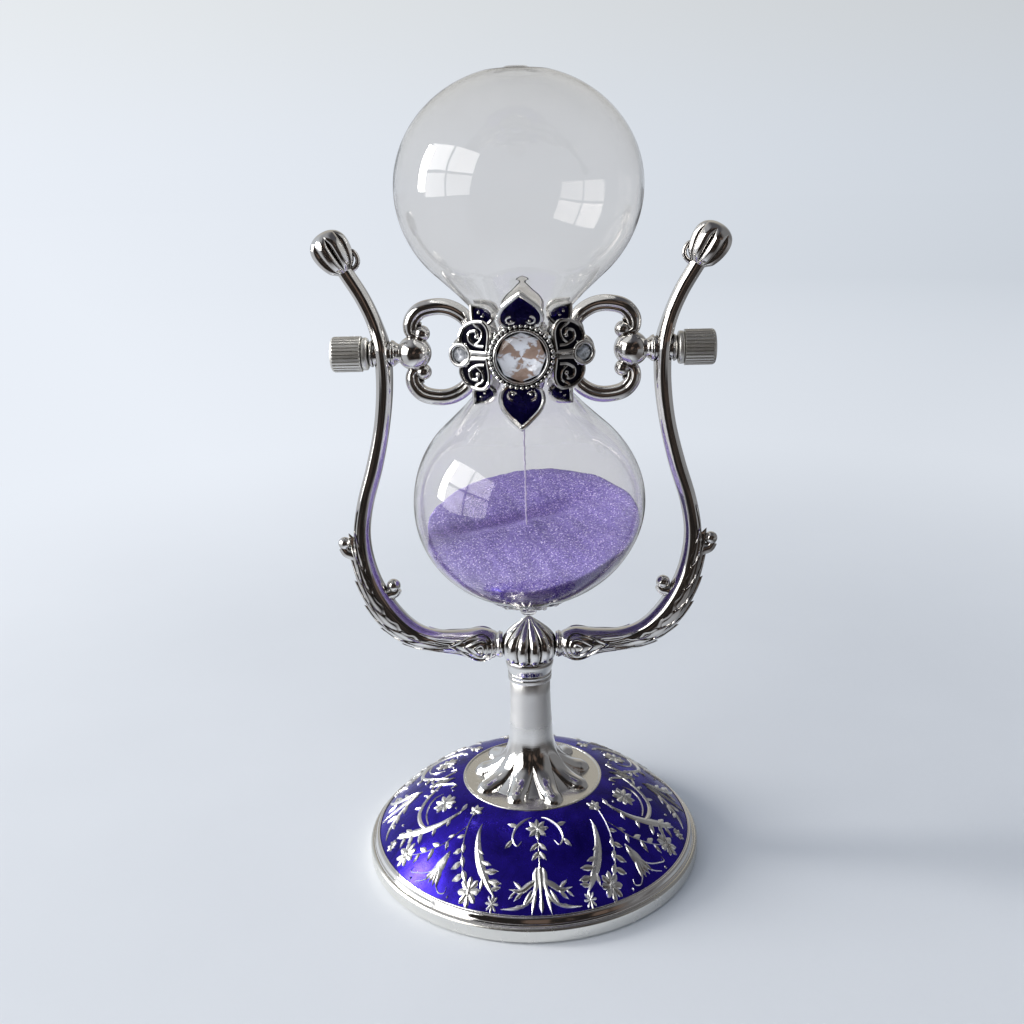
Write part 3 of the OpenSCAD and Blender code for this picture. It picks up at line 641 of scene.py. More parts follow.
    # the fan of leaves on the second mirror line, and its small palmette
    d.stroke([(90, 30.2, 0.1), (90, 33, 0.8), (90, 36.6, 0.9), (90, 39.2, 0.6), (90, 41.8, 0.08)])
    d.stroke([(88.6, 31.4, 0.2), (86.8, 34.4, 0.6), (84.4, 37, 0.8), (80.4, 39.8, 0.5), (76.6, 41.2, 0.08)])
    d.leaves((87, 34.4, 68, 3.0, 0.72), (84.4, 36.8, 72, 2.8, 0.72), (82, 38.8, 96, 2.2, 0.72),
             (85.4, 37.4, -14, 2.6, 0.72))
    d.stroke([(90, 28.2, 0.08), (90, 26.6, 1.1), (90, 24.8, 1.3), (90, 22.8, 0.8), (90, 21, 0.08)])
    d.stroke([(88.6, 26.2, 0.35), (85.6, 24, 0.42), (82.4, 21.9, 0.38), (79, 21.2, 0.34), (78.6, 22.8, 0.1)])
    d.stroke([(88.2, 27.2, 0.3), (84.6, 27.6, 0.42), (82.6, 26, 0.08)])
    for at in ((75.2, 36.4), (74.6, 22.4), (57, 24.6), (96, 29.5)):
        d.dot(at, 0.3)
    return d.form


# ---- stem ----

def stem_form():
    """The stem, which runs out below into a foot of finger-like lobes that lie on the disc."""
    top = disc_z - 0.05
    fingers, half = 9, 2.75
    tips = np.array([16.2, 17.4, 16.6, 17.6, 16.0, 17.2, 16.4, 17.5, 16.8])
    radii = np.concatenate([np.linspace(5.78, 8, 22), np.linspace(8.15, 18.4, 66)])
    a = around(720)
    ridge = smooth_line([[5.75, 14.2], [6.05, 11.2], [7.0, 7.9], [8.8, 5.2], [11.2, 3.4], [13.6, 2.5],
                         [16, 1.9], [19, 1.4]], 12)
    valley = smooth_line([[5.75, 14.2], [5.98, 11], [6.7, 7.4], [8.0, 4.8], [9.6, 3.0], [11.2, 1.5],
                          [12.8, 0.2], [14, -0.4], [19, -0.6]], 12)
    neck = ((0.5, stem_top_z), (stem_r - 0.3, stem_top_z), (stem_r, stem_top_z - 0.3), (stem_r, 46),
            (5.45, 40), (5.62, 37.5))
    rings = [ring(r, a, z) for r, z in neck]
    for r in radii:
        low = np.interp(r, valley[:, 0], valley[:, 1])
        high = np.interp(r, ridge[:, 0], ridge[:, 1])
        z = np.full(len(a), low)
        for k in range(fingers):
            off = (a - TURN * (k + 0.32) / fingers + math.pi) % TURN - math.pi
            across = np.abs(r * np.sin(off)) / half
            past = np.clip((r - (tips[k] - half)) / half, 0, None)
            inside = np.clip(1 - across**2 - past**2, 0, None) * (np.abs(off) < 1)
            z = np.maximum(z, np.where(inside > 0, (high - low) * inside**0.45 + low, low))
        rings.append(ring(r, a, top + np.maximum(z, -0.6)))
    under, middle = (r * [1, 1, 0] + [0, 0, top - 0.9] for r in (rings[-1], rings[0]))
    return Form().skin(np.array([*rings, under, middle]), loop=True)


def ferrule():
    """Polished flare with a groove and a ring, between the stem and the bud."""
    return turned([[-0.4, -1.3], [0.3, -1.3], [0.42, -1.1], [0.42, -0.2], [0.28, 0], [0.4, 0.2], [0.45, 0.6],
                   [0.4, 0.9], [0.3, 1.1], [0.4, 1.4], [0.7, 2.4], [0.98, 3.5], [0.95, 4.4], [0.5, 4.9],
                   [1 - stem_r, 5.0], [1 - stem_r, 0.1], [-0.4, 0.1]], (stem_r, stem_top_z), 0.2, 128)


def hub_bud():
    """Fluted bud: rounded ribs that meet in the point on top and end in rounded lobes below."""
    ribs = 12
    tall = bud_tip_z - bud_z
    line = smooth_line([[5.5, 1.0], [6.2, 1.3], [6.85, 2.3], [7.25, 3.7], [7.3, 5.1], [6.9, 6.7], [5.7, 8.4],
                        [4.0, 10], [2.3, 11.3], [1.05, 12.3], [0.3, tall - 0.1]], 5)
    a = around(ribs * 20)
    rings = []
    for r, h in line:
        part = np.abs(np.sin(ribs * a / 2))
        groove = 1 - np.minimum(1, part / 0.95) ** 0.55
        deep = 0.2 * smoothstep(h, 0.6, 2.4) * (1 - 0.35 * smoothstep(h, 9, 12.6)) + 0.03
        droop = (0.3 - 0.8 * part**2) * (1 - smoothstep(h, 1.0, 3.6))
        rings.append(ring(r * (1 - deep * groove), a, bud_z + h + droop))
    return Form().skin(rings)


# ---- yoke ----

# Centreline of the right arm: distance from the middle, height, half width, half depth
arm_points = [[7, 59, 3.3, 3.3], [8.6, 59, 3.5, 3.5], [12.8, 59.2, 4.4, 4.2], [18.5, 59.8, 3.3, 3.4],
              [25, 60.5, 2.8, 2.9], [31, 62.8, 3.1, 3.2], [36.4, 68, 3.4, 3.4], [40.2, 75.4, 3, 3.2],
              [42, 83, 2.5, 2.8], [42.3, 90.5, 2.2, 2.6], [40.9, 98.5, 2.1, 2.5], [38, 108, 2.1, 2.5],
              [35.6, 118, 2, 2.5], [34.3, 128, 2.1, 2.8], [34.3, 137, 2.15, 3.4], [35.7, 143.5, 1.9, 2.4],
              [38.4, 150, 1.9, 2.1], [42.2, 156.4, 1.9, 1.9]]


class Bar:
    """A bar along a smooth line in the XZ plane. Points on it are given by how far along they are, in points
    of the line, and by an angle: 0 on the left of the way it goes, 180 on the right and -90 in front."""

    def __init__(self, points, boxy=1.0):
        self.steps = 12
        self.line = smooth_line(points, self.steps)
        along = np.gradient(self.line[:, :2], axis=0)
        along[0] = along[1] = [1, 0]
        self.along = along / np.linalg.norm(along, axis=1)[:, None]
        self.boxy = boxy

    def at(self, place, angle, lift=0.0):
        place, angle, lift = np.broadcast_arrays(place, angle, lift)
        i = np.clip(np.asarray(place, float) * self.steps, 0, len(self.line) - 1)
        grid = np.arange(len(self.line))
        x, z, w, d = (np.interp(i, grid, self.line[:, k]) for k in range(4))
        ax, az = (np.interp(i, grid, self.along[:, k]) for k in range(2))
        c, s = np.cos(np.radians(angle)), np.sin(np.radians(angle))
        c, s = np.sign(c) * np.abs(c) ** self.boxy, np.sign(s) * np.abs(s) ** self.boxy
        return np.stack([x - az * (w + lift) * c, (d + lift) * s, z + ax * (w + lift) * c], -1)

    def rings(self, start, end, sides, lift=None, per_point=6):
        n = int((end - start) * per_point) + 1
        places = np.linspace(start, end, n)
        a = np.degrees(around(sides))
        raised = lift(places[:, None], a[None]) if lift else 0.0
        return self.at(places[:, None], a[None], raised)


def leaf_on(bar, start, end, centre, spread, lift, lobes=3):
    """A pointed leaf that lies along a bar, its tip standing off a little."""
    t = np.linspace(0, 1, 19)[:, None]
    v = np.linspace(-1, 1, 13)[None]
    wide = spread * (1 - t**2.6) ** 0.9 * (0.55 + 0.45 * np.sin(np.pi * np.clip(t * 1.15, 0, 1)))
    wide = wide * (1 + 0.10 * np.cos(TURN * lobes * t)) + 1.0
    place = start + (end - start) * t * (1 + 0.10 * (1 - v**2))
    rise = 0.12 + lift * t**1.4
    veins = 0.10 * np.cos(4 * np.pi * v) * (1 - t)
    height = rise * (1 - 0.45 * v**2) + veins + 0.16 * np.exp(-(v / 0.16) ** 2)
    top = bar.at(place, centre + v * wide, height)
    under = bar.at(start + (end - start) * t, centre + v[:, ::-1] * wide * 0.92, -0.5)
    return Form().skin(np.concatenate([top, under], 1))


def teardrop_on(bar, start, end, spread, centre, r):
    """A ridge in the shape of a drop on a bar, round end towards the start."""
    t = np.linspace(0, TURN, 73)[:-1]
    u = (1 - np.cos(t)) / 2
    place = start + (end - start) * u
    side = np.sin(t) * np.abs(np.cos(t / 2)) ** 1.2 * spread * 1.3
    path = bar.at(place, centre + side, r * 0.15)
    out = bar.at(place, centre + side, 5.0) - bar.at(place, centre + side, 0.0)
    path, out = (np.vstack([p, p[:1]]) for p in (path, out))
    return Form().skin(tube(path, r, 8, up=out)[:-1], loop=True)


def hook(points, end, end_r, r0, r1):
    """A short tapering hook that ends in a ball. Points are (x, z) in the plane of the arms."""
    path = smooth_line([[x, 0, z] for x, z in points], 6)
    form = Form().skin(tube(path, np.linspace(r0, r1, len(path)), 16))
    return form.skin(ball((end[0], 0, end[1]), end_r, 28))


def arm_form():
    bar = Bar(arm_points)
    form = Form()

    def relief(place, angle):
        """Low ribs: a ring at the hub, and two long ridges up the outside of the arm."""
        at_hub = 0.28 * np.exp(-((place - 0.55) / 0.16) ** 2) - 0.28 * np.exp(-((place - 1.0) / 0.1) ** 2)
        upper = smoothstep(place, 8.0, 9.2)
        front = np.exp(-((np.abs((angle + 180) % 360 - 180) - 122) / 9) ** 2)
        return at_hub + 0.16 * upper * front

    form.skin(bar.rings(0, 17, 72, relief, 10))
    for centre in (-90, 90):
        for start, end, spread, r in ((1.25, 3.35, 56, 0.42), (1.55, 2.75, 34, 0.34), (1.8, 2.3, 15, 0.3)):
            form.join(teardrop_on(bar, start, end, spread, centre, r))
        for off, start, end in ((-38, 2.5, 4.2), (30, 2.7, 4.6), (-8, 3.1, 4.9)):
            form.join(leaf_on(bar, start, end, centre + off, 20, 0.35, 2))
    for k in range(6):
        start = 3.3 + 0.78 * k
        form.join(leaf_on(bar, start, start + 1.6, 180, 58, 1.1))
        for side in (-1, 1):
            form.join(leaf_on(bar, start + 0.3, start + 1.75, 180 + side * 62, 40, 0.75))
    for side in (-1, 1):
        form.join(leaf_on(bar, 7.3, 9.6, 180 + side * 48, 24, 0.15, 2))
    form.join(hook([(41.4, 81.6), (43.2, 83.6), (44.9, 84.6), (46.6, 85.2), (47.6, 86.6)], (47.0, 87.7), 1.65,
                   1.9, 1.15))
    form.join(hook([(39.0, 71.2), (37.6, 72.8), (36.2, 73.6), (34.8, 73.9), (34.0, 75.0)], (35.0, 75.9), 1.8,
                   2.1, 1.2))
    boss = smooth_line([[1.9, arm_in], [2.7, arm_in], [2.9, arm_in + 0.4], [2.6, (arm_in + arm_out) / 2],
                        [2.9, arm_out - 0.4], [2.7, arm_out], [1.9, arm_out]], 5)
    form.skin(along_x(lathe(boss, 64)), loop=True)
    return form


def along_x(rings):
    """Turns what was made about Z to lie along X, at the height of the turning axis."""
    rings = np.asarray(rings)
    return np.stack([rings[..., 2], rings[..., 1], pivot_z - rings[..., 0]], -1)


finial_tilt = 31


def finial_form():
    """Closed bud on the end of an arm: broad ribs that curl in at the neck and run out into a smooth cap."""
    ribs = 7
    a = around(ribs * 28)
    line = smooth_line([[1.75, -0.9], [1.85, -0.2], [2.5, 0.4], [3.4, 1.2], [4.1, 2.6], [4.6, 4.3],
                        [4.8, 6.0], [4.6, 7.6], [3.85, 9.0], [2.6, 9.95], [1.3, 10.4], [0.1, 10.5]], 6)
    rings = []
    for r, h in line:
        groove = 1 - np.minimum(1, np.abs(np.sin(ribs * a / 2)) / 0.9) ** 0.6
        deep = 0.34 * smoothstep(h, -0.4, 1.2) * (1 - smoothstep(h, 6.4, 9.8))
        rings.append(ring(r * (1 - deep * groove), a, h))
    form = Form().skin(rings)
    sepal = smooth_line([[-1.5, 0, -0.6], [-2.9, 0, -0.4], [-4.1, 0, 0.5], [-4.5, 0, 2.0], [-4.2, 0, 3.1],
                         [-3.6, 0, 2.8], [-3.5, 0, 1.8]], 6)
    form.skin(tube(sepal, np.linspace(0.65, 0.45, len(sepal)), 12))
    x, z = arm_points[-1][:2]
    return form.moved(matrix(shift(x, 0, z) @ rotation(finial_tilt, "Y")))


# ---- glass ----

neck_r, neck_bend, cone_slope = 3.0, 1.2, 0.97
bulb_h, bulb_in, bulb_out = 38.3, 27.5, 26.6


def half_outline(inset):
    """[radius, height] of the glass from the waist to near the far end, moved inwards by an inset."""
    foot = neck_r - neck_bend - inset
    points = [[foot + math.hypot(neck_bend, cone_slope * h), h] for h in np.linspace(0, 14, 12)]
    r = bulb_r - inset
    for t in np.radians(np.linspace(42, 90, 16)):
        points.append([r * math.sin(t), bulb_h - (bulb_in - inset) * math.cos(t)])
    for t in np.radians(np.linspace(87, 16, 24)):
        points.append([r * math.sin(t), bulb_h + (bulb_out - inset) * math.cos(t)])
    return smooth_line(points, 2)


wall = 0.5
# Between these heights over the waist, the sand follows the glass
sand_edge_low, sand_edge_high = 7.6 - spout_h, -30
spout_low = spout_h + 0.55
top_h = bulb_h + bulb_out


def leaned(p):
    """Moves points a little to the right about the middle of the lower bulb, which isn't blown quite true."""
    return p + 0.9 * np.exp(-(((p[:, 2:] - pivot_z + 37) / 17) ** 2)) * [1, 0, 0]


def glass_form():
    """One closed wall of blown glass, with its sealed filling spout below and a small nub on top."""
    def profile(inset, spout, join, nub):
        """[radius, height] of one side of the wall. The spout is given from its tip upwards, and the nub from
        the top downwards."""
        upper = half_outline(inset)
        lower = (upper * [1, -1])[upper[:, 1] < spout_h - join][::-1][:-1]
        return np.vstack([smooth_line(np.array(spout) - [0, spout_low], 3), lower, upper,
                          np.array(nub) * [1, -1] + [0, top_h]])

    outside = profile(0, [[0.05, 0], [1.5, 0.02], [2.0, 0.35], [2.3, 1.1], [3.0, 1.8], [4.1, 2.5], [5.6, 3.2],
                          [7.6, 4.05], [9.8, 5.1], [12.3, 6.2]], 6.0,
                      [[6.6, 0.95], [4.6, 0.62], [3.3, 0.5], [2.7, 0.15], [1.6, 0.1], [0.05, 0.1]])
    inside = profile(wall, [[0.05, 3.6], [1.2, 3.7], [2.6, 4.1], [4.2, 4.6], [5.8, 5.1], [7.6, 5.7],
                            [9.4, 6.4]], 6.8, [[4.6, 1.5], [2.4, 1.2], [0.05, 1.15]])
    a = around(144)

    def blown(profile, amount):
        """Rings with the slight unevenness of blown glass, and the crumpled seal at the spout."""
        rings = []
        for r, h in profile:
            swell = 1 + amount * (np.sin(2 * a + h * 0.05) * 0.6 + np.sin(3 * a - h * 0.09) * 0.4)
            melt = 0.55 * math.exp(-((h + spout_h - 3.6) / 1.9) ** 2) * min(1, r / 2)
            z = h + melt * (np.sin(7 * a + 2.4 * r) * 0.5 + np.sin(13 * a - 1.9 * r) * 0.3
                            + np.sin(19 * a + 4.1 * r) * 0.2)
            swell = swell + 0.16 * melt * np.sin(11 * a + 3.0 * h)
            rings.append(ring(r * swell, a, z + pivot_z))
        return rings

    form = Form().skin(blown(outside, 0.0012))
    hollow = Form().skin(blown(inside, 0.0025))
    return form.join(hollow.moved(lambda p: p, flip=True)).moved(leaned)


# ---- sand ----

def sand_top(x, y):
    """Height of the sand over the waist: a slope up to the right and to the back, with a shallow valley."""
    plane = 91.0 - pivot_z + 0.07 * x + 0.25 * y
    off = y - valley_y - valley_slope * x
    valley = -2.0 * np.exp(-((off / 4.2) ** 2)) * smoothstep(x, 32, 2)
    ridge = 0.5 * np.exp(-(((off + 7) / 4.2) ** 2)) * smoothstep(x, 24, -12)
    cone = 0.7 * np.exp(-(x**2 + y**2) / 9)
    dunes = 0.22 * np.sin(0.45 * x + 0.2 * y) * np.sin(0.33 * y - 0.1 * x)
    dunes = dunes + 0.08 * np.sin(1.3 * x + 0.7 * y)
    lower = -3.4 * smoothstep(-y - 0.5 * x, 6, 26) + 0.9 * smoothstep(np.hypot(x, y), 12, 26)
    return plane + valley + ridge + cone + dunes + lower


def sand_form():
    """Sand that fills the lower bulb up to its top."""
    inner = half_outline(wall + 0.05) * [1, -1]
    inner = inner[(inner[:, 1] < sand_edge_high) & (inner[:, 1] > sand_edge_low)]
    bottom = np.array([[9.2, 6.6], [7.4, 5.9], [4.2, 5.3], [0.05, 5.0]]) - [0, spout_h]
    inner = np.vstack([inner, bottom])[::-1]
    heights, radii = inner[:, 1], inner[:, 0]
    a = around(180)
    # halve the range again and again, to find where the top of the sand meets the glass
    low, high = np.full(len(a), heights[0]), np.full(len(a), sand_edge_high - 1.0)
    for _ in range(30):
        mid = (low + high) / 2
        r = np.interp(mid, heights, radii)
        under = mid < sand_top(r * np.cos(a), r * np.sin(a))
        low, high = np.where(under, mid, low), np.where(under, high, mid)
    rings = []
    for t in np.linspace(0, 1, 26):
        h = heights[0] + (low - heights[0]) * t**1.6
        r = np.interp(h, heights, radii)
        rings.append(ring(r, a, h + pivot_z))
    edge = np.interp(low, heights, radii)
    for t in np.linspace(0.985, 0.01, 60):
        x, y = edge * t * np.cos(a), edge * t * np.sin(a)
        rings.append(np.stack([x, y, sand_top(x, y) + pivot_z], 1))
    return Form().skin(rings).moved(leaned)


def stream_form():
    """A thin thread of falling sand, wider where it leaves the waist."""
    h = np.linspace(0.4, -44.6, 120)
    wobble = 0.05 * np.sin(1.7 * h) + 0.04 * np.sin(3.1 * h + 1)
    path = np.stack([wobble, 0.6 * wobble[::-1], h + pivot_z], 1)
    radius = 0.2 + 0.3 * smoothstep(h, -18, 0) + 0.05 * np.sin(4.3 * h)
    return Form().skin(tube(path, radius, 10, up=(1, 0, 0)))


# ---- collar ----

plate_z = 10.2
petal_tilt, petal_foot, petal_reach = 43, (7.4, 9.7), 16.3
leaf_tilt, leaf_foot = 11, (7.4, 8.2)
wing_tilt, wing_foot = 24, (6.0, 7.2)
small_stone_reach = (small_stone_x - wing_foot[0]) / math.cos(math.radians(wing_tilt))
bead_ring_r, bead_r = 7.4, 0.6
stone_lift, foil_lift = 0.1, 0.85       # over the plate that holds the large stone


def wing(turn):
    """The place of a pair of side cells, right of the large stone or, turned by 180 degrees, left of it."""
    return rotation(turn, "Z") @ shift(wing_foot[0], 0, wing_foot[1]) @ rotation(wing_tilt, "Y")


def facing(side):
    """Turns a face drawn in XY, its thickness along +Z, to look forwards (-1) or backwards (1)."""
    return shift(0, 0, pivot_z) @ rotation(180 if side > 0 else 0, "Z") @ rotation(90, "X")


def outline_tube(points, r, lift=0.0, closed=True):
    """A raised wire along points drawn in XY."""
    path = np.array([[x, y, lift] for x, y in points], float)
    if closed:
        path = np.vstack([path[-1:], path, path[:1], path[1:2]])
        return Form().skin(tube(path, r, 8, up=(0, 0, 1))[1:-2], loop=True)
    return Form().skin(tube(path, r, 8, up=(0, 0, 1)))


def filled(points, low, high, dome=0.0):
    """A plate of an outline drawn in XY, from one height to another, its top slightly domed."""
    p = np.asarray(points, float)
    centre = p.mean(0)
    rings = []
    for k, z in ((0.02, low), (1.0, low), (1.0, high - dome), (0.93, high - dome * 0.55), (0.7, high),
                 (0.4, high), (0.02, high)):
        q = centre + (p - centre) * k
        rings.append(np.column_stack([q, np.full(len(q), z)]))
    return Form().skin(rings)


def spade(long, wide):
    """Outline of a petal: a point at the far end, swelling sides and a notched foot."""
    half = smooth_line(np.array([[0, 1], [0.16, 0.86], [0.40, 0.62], [0.50, 0.40], [0.47, 0.17], [0.33, 0.04],
                                 [0.13, 0]]) * [wide, long], 9)
    return np.vstack([half, (half * [-1, 1])[::-1][:-1]])


def curl_path(x, y, size, sign):
    """A C-shaped curl."""
    t = np.linspace(0, 1, 22)
    a = math.pi * 0.5 + sign * TURN * 0.72 * t
    r = size * (1 - 0.55 * t)
    return np.column_stack([x + r * np.cos(a), y + r * np.sin(a)])


def petal_parts(long, wide, curls):
    """A petal's silver and enamel, drawn flat with its foot at the origin."""
    silver, colour = Form(), Form()
    edge = spade(long, wide)
    silver.join(filled(edge, -0.35, 0.35))
    middle = np.array([0, long * 0.42])
    rim = middle + (edge - middle) * 0.94
    silver.join(outline_tube(rim, 0.56, 0.4))
    colour.join(filled(middle + (edge - middle) * 0.86, 0.0, 0.52, dome=0.12))
    if curls:
        for sign in (-1, 1):
            x, y = sign * wide * 0.20, long * 0.26
            silver.join(outline_tube(curl_path(x, y, 1.5, -sign), 0.33, 0.6, closed=False))
            silver.skin(ball((x, y - 0.1, 0.56), 0.4, 12))
    return silver, colour


def cell_outline(k):
    """Outline of a side cell next to the large stone: k is 1 for the upper and -1 for the lower one."""
    points = [[1.6, 0.5], [6.0, 0.7], [8.3, 1.7], [9.2, 3.6], [8.6, 5.8], [7.0, 7.4], [4.6, 8.2], [2.3, 7.9],
              [1.0, 5.4]]
    closed = np.array(points + points[:1])
    return smooth_line(closed, 6)[:-1] * [1, k]


def collar_parts():
    """One medallion, drawn as the front face is seen: its silver, the enamel of its petals and of its side
    cells, and the pale plates behind its petals."""
    silver, colour, cells, backs = Form(), Form(), Form(), Form()
    long = (petal_reach - petal_foot[0]) / math.cos(math.radians(petal_tilt)) + 0.6
    for turn in (0, 180, 45, 135, 225, 315):
        if turn % 180 == 0:
            place = shift(0, *petal_foot) @ rotation(petal_tilt, "X") @ shift(0, -0.6, 0.35)
            s, c = petal_parts(long, 10.6, True)
            back = filled(spade(long - 0.5, 9.8), -0.6, -0.3)
        else:
            place = shift(0, *leaf_foot) @ rotation(-leaf_tilt, "X") @ shift(0, 3.4, -1.3)
            s, c = petal_parts(6.3, 5.4, False)
            for y in (3.7, 2.4):
                s.skin(ball((0, y, 0.5), 0.42, 12))
            back = filled(spade(6.0, 5.0), -0.55, -0.3)
        change = matrix(rotation(turn, "Z") @ place)
        for whole, part in ((silver, s), (colour, c), (backs, back)):
            whole.join(part.moved(change))
    for turn in (0, 180):
        place = matrix(wing(turn))
        s = Form()
        for k in (-1, 1):
            edge = cell_outline(k)[::k]
            middle = edge.mean(0)
            s.join(filled(edge, 0.2, 1.2))
            s.join(outline_tube(middle + (edge - middle) * 0.95, 0.5, 1.45))
            cells.join(filled(middle + (edge - middle) * 0.84, 0.9, 1.3, dome=0.05).moved(place))
            # a curl that branches, and two pearls, inside each cell
            stem = [[2.6, 2.2], [4.6, 2.4], [6.4, 3.6], [6.2, 5.4], [4.7, 5.8], [4.2, 4.6]]
            twig = [[4.9, 2.5], [3.4, 3.8], [2.9, 5.6], [3.7, 6.7]]
            for line, r, lift in ((stem, 0.46, 1.4), (twig, 0.34, 1.38)):
                s.join(outline_tube(smooth_line(np.array(line) * [1, k], 6), r, lift, closed=False))
            s.skin(ball((4.35, 4.5 * k, 1.45), 0.62, 14))
            s.skin(ball((7.5, 2.6 * k, 1.4), 0.42, 12))
        far = small_stone_reach
        for y in (-0.442, 0.442):
            s.join(outline_tube([(1.0, y), (far - 2.2, y)], 0.26, 1.5, closed=False))
        s.join(filled([(far + 3 * math.cos(t), 3 * math.sin(t)) for t in around(40)], -0.1, 0.98))
        silver.join(s.moved(place))
    silver.join(turned([[0.5, 6.9], [7.2, 6.9], [7.6, 7.6], [7.6, plate_z], [0.5, plate_z]], (0, 0), 0.3, 96))
    return silver, colour, cells, backs


def bezel_form():
    """The ring round the large stone: a smooth inner lip inside a rope of beads."""
    lip = rounded(np.array([[5.8, 0], [7.75, 0], [7.75, 0.3], [6.85, 0.35], [6.75, 1.0], [6.5, 1.45],
                            [6.1, 1.4], [5.85, 0.9]]) + [0, plate_z], 0.2, 6)
    form = Form().skin(lathe(lip, 128), loop=True)
    for place in ring(bead_ring_r, around(36), plate_z + bead_r):
        form.skin(ball(place, bead_r, 14))
    return form


def gem_form(r, girdle, crown, table, sides):
    """A cut stone: a table of large facets over a ring of small ones, and a shallow pointed back."""
    a, between = around(sides), around(sides, TURN * 0.5 / sides)
    points = np.vstack([ring(r, a, 0), ring(r, a, girdle), ring(r * 0.8, between, girdle + crown * 0.62),
                        ring(r * table, a, girdle + crown), [[0, 0, girdle + crown * 1.12], [0, 0, 0]]])
    m = sides
    faces = []
    for k in range(m):
        q = (k + 1) % m
        faces += [(k, q, m + q, m + k), (m + k, m + q, 2 * m + k), (2 * m + k, m + q, 2 * m + q),
                  (2 * m + k, 2 * m + q, 3 * m + q), (2 * m + k, 3 * m + q, 3 * m + k),
                  (3 * m + k, 3 * m + q, 4 * m), (q, k, 4 * m + 1)]
    return Form().add(points, faces)


def foil_form(r, depth, sides):
    """The faceted silver cup behind a stone, which throws the light back."""
    a, b = around(sides), around(sides, TURN * 0.5 / sides)
    rim, half = ring(r, a, 0), ring(r * 0.55, b, -depth * 0.6)
    points = np.vstack([rim, half, [[0, 0, -depth]], rim + [0, 0, -depth - 0.3], [[0, 0, -depth - 0.3]]])
    m = sides
    faces = []
    for k in range(m):
        q = (k + 1) % m
        faces += [(k, q, m + k), (m + k, q, m + q), (m + k, m + q, 2 * m),
                  (q, k, 2 * m + 1 + k, 2 * m + 1 + q), (2 * m + 1 + q, 2 * m + 1 + k, 3 * m + 1)]
    return Form().add(points, faces)


def side_stone_places():
    """The places of a medallion's two small stones."""
    for turn in (0, 180):
        yield wing(turn) @ shift(small_stone_reach, 0, 1.0)


# Centreline of an upper scroll on the right: distance from the middle, height over the axis, radii
scroll_points = [
    [12.6, 6.6, 1.7, 1.7], [14.4, 9, 1.95, 1.95], [17.4, 10.7, 2.0, 2.0], [20.8, 11.1, 2.0, 2.0],
    [24.6, 10.2, 2.0, 2.0], [26.8, 7.8, 1.95, 1.95], [27.0, 5.2, 1.7, 1.7], [25.5, 4.1, 1.3, 1.3]
]


def bracket_form():
    """Two scrolls and the ball that holds the stud."""
    bar = Bar(scroll_points, boxy=0.95)

    def groove(place, angle):
        off = np.abs((angle + 180) % 360 - 180)
        return -0.34 * np.exp(-((off - 112) / 11) ** 2) + 0.10 * np.exp(-((off - 140) / 14) ** 2)

    scroll = Form().skin(bar.rings(0, 7, 72, groove, 12))
    scroll.skin(ball((24.4, 0, 4.7), 2.0, 32))
    collar = smooth_line([[26.75, 0, 6.2], [25.6, 0, 7.0], [24.4, 0, 6.9]], 4)
    scroll.skin(tube(collar, 0.5, 10))
    upper = scroll.moved(lambda p: p + [0, 0, pivot_z])
    lower = scroll.moved(lambda p: p * [1, 1, -1] + [0, 0, pivot_z], flip=True)
    return upper.join(lower).skin(ball((26.5, 0, pivot_z), 4.25, 48))


def spacer_form():
    """Smooth flare from the ball out to the arm."""
    profile = smooth_line([[1.2, 29.8], [2.2, 29.9], [2.3, 30.3], [2.6, 30.8], [3.1, 31.4], [3.2, 31.8],
                           [3.1, 32.0], [1.2, 32.0]], 4)
    return Form().skin(along_x(lathe(profile, 64)), loop=True)


def washer_form():
    low, high = arm_out + 0.1, arm_out + 0.9
    profile = rounded([[1.6, low], [washer_r + 0.3, low], [washer_r + 0.3, low + 0.3], [washer_r - 0.1, high],
                       [1.6, high]], 0.2)
    return Form().skin(along_x(lathe(profile, 64)), loop=True)


def knob_form():
    """Knurled knob: a neck, a bead, straight flutes and a rounded end."""
    flutes, flute_depth = 30, 0.3
    a = around(flutes * 12)
    last = knob_end - 0.5
    start, end = knob_x + 1.7, last - 0.7
    neck = np.array([[1.6, 0.02], [2.6, 0.02], [3.3, 0.12], [3.85, 0.35], [4.0, 0.7], [4.0, 1.2], [3.95, 1.4],
                     [3.6, 1.5], [3.6, 1.65], [knob_r - 0.1, 1.8], [knob_r, 2.1], [knob_r, 5]]) + [0, knob_x]
    cap = np.array([[0, -1.3], [-0.06, -0.7], [-0.35, -0.25], [-0.9, -0.04], [-1.8, 0]]) + [knob_r, last]
    profile = smooth_line(np.vstack([neck, cap, [[0.6, last]]]), 4)
    rings = []
    for r, x in profile:
        cut = smoothstep(x, start - 0.05, start + 0.25) * (1 - smoothstep(x, end - 0.3, end + 0.2))
        groove = np.clip(1 - np.abs(np.sin(flutes * a / 2)) / 0.7, 0, 1) ** 0.8
        rings.append(ring(r - flute_depth * cut * groove, a, x))
    return Form().skin(along_x(np.array(rings)))


# ---- put it together ----

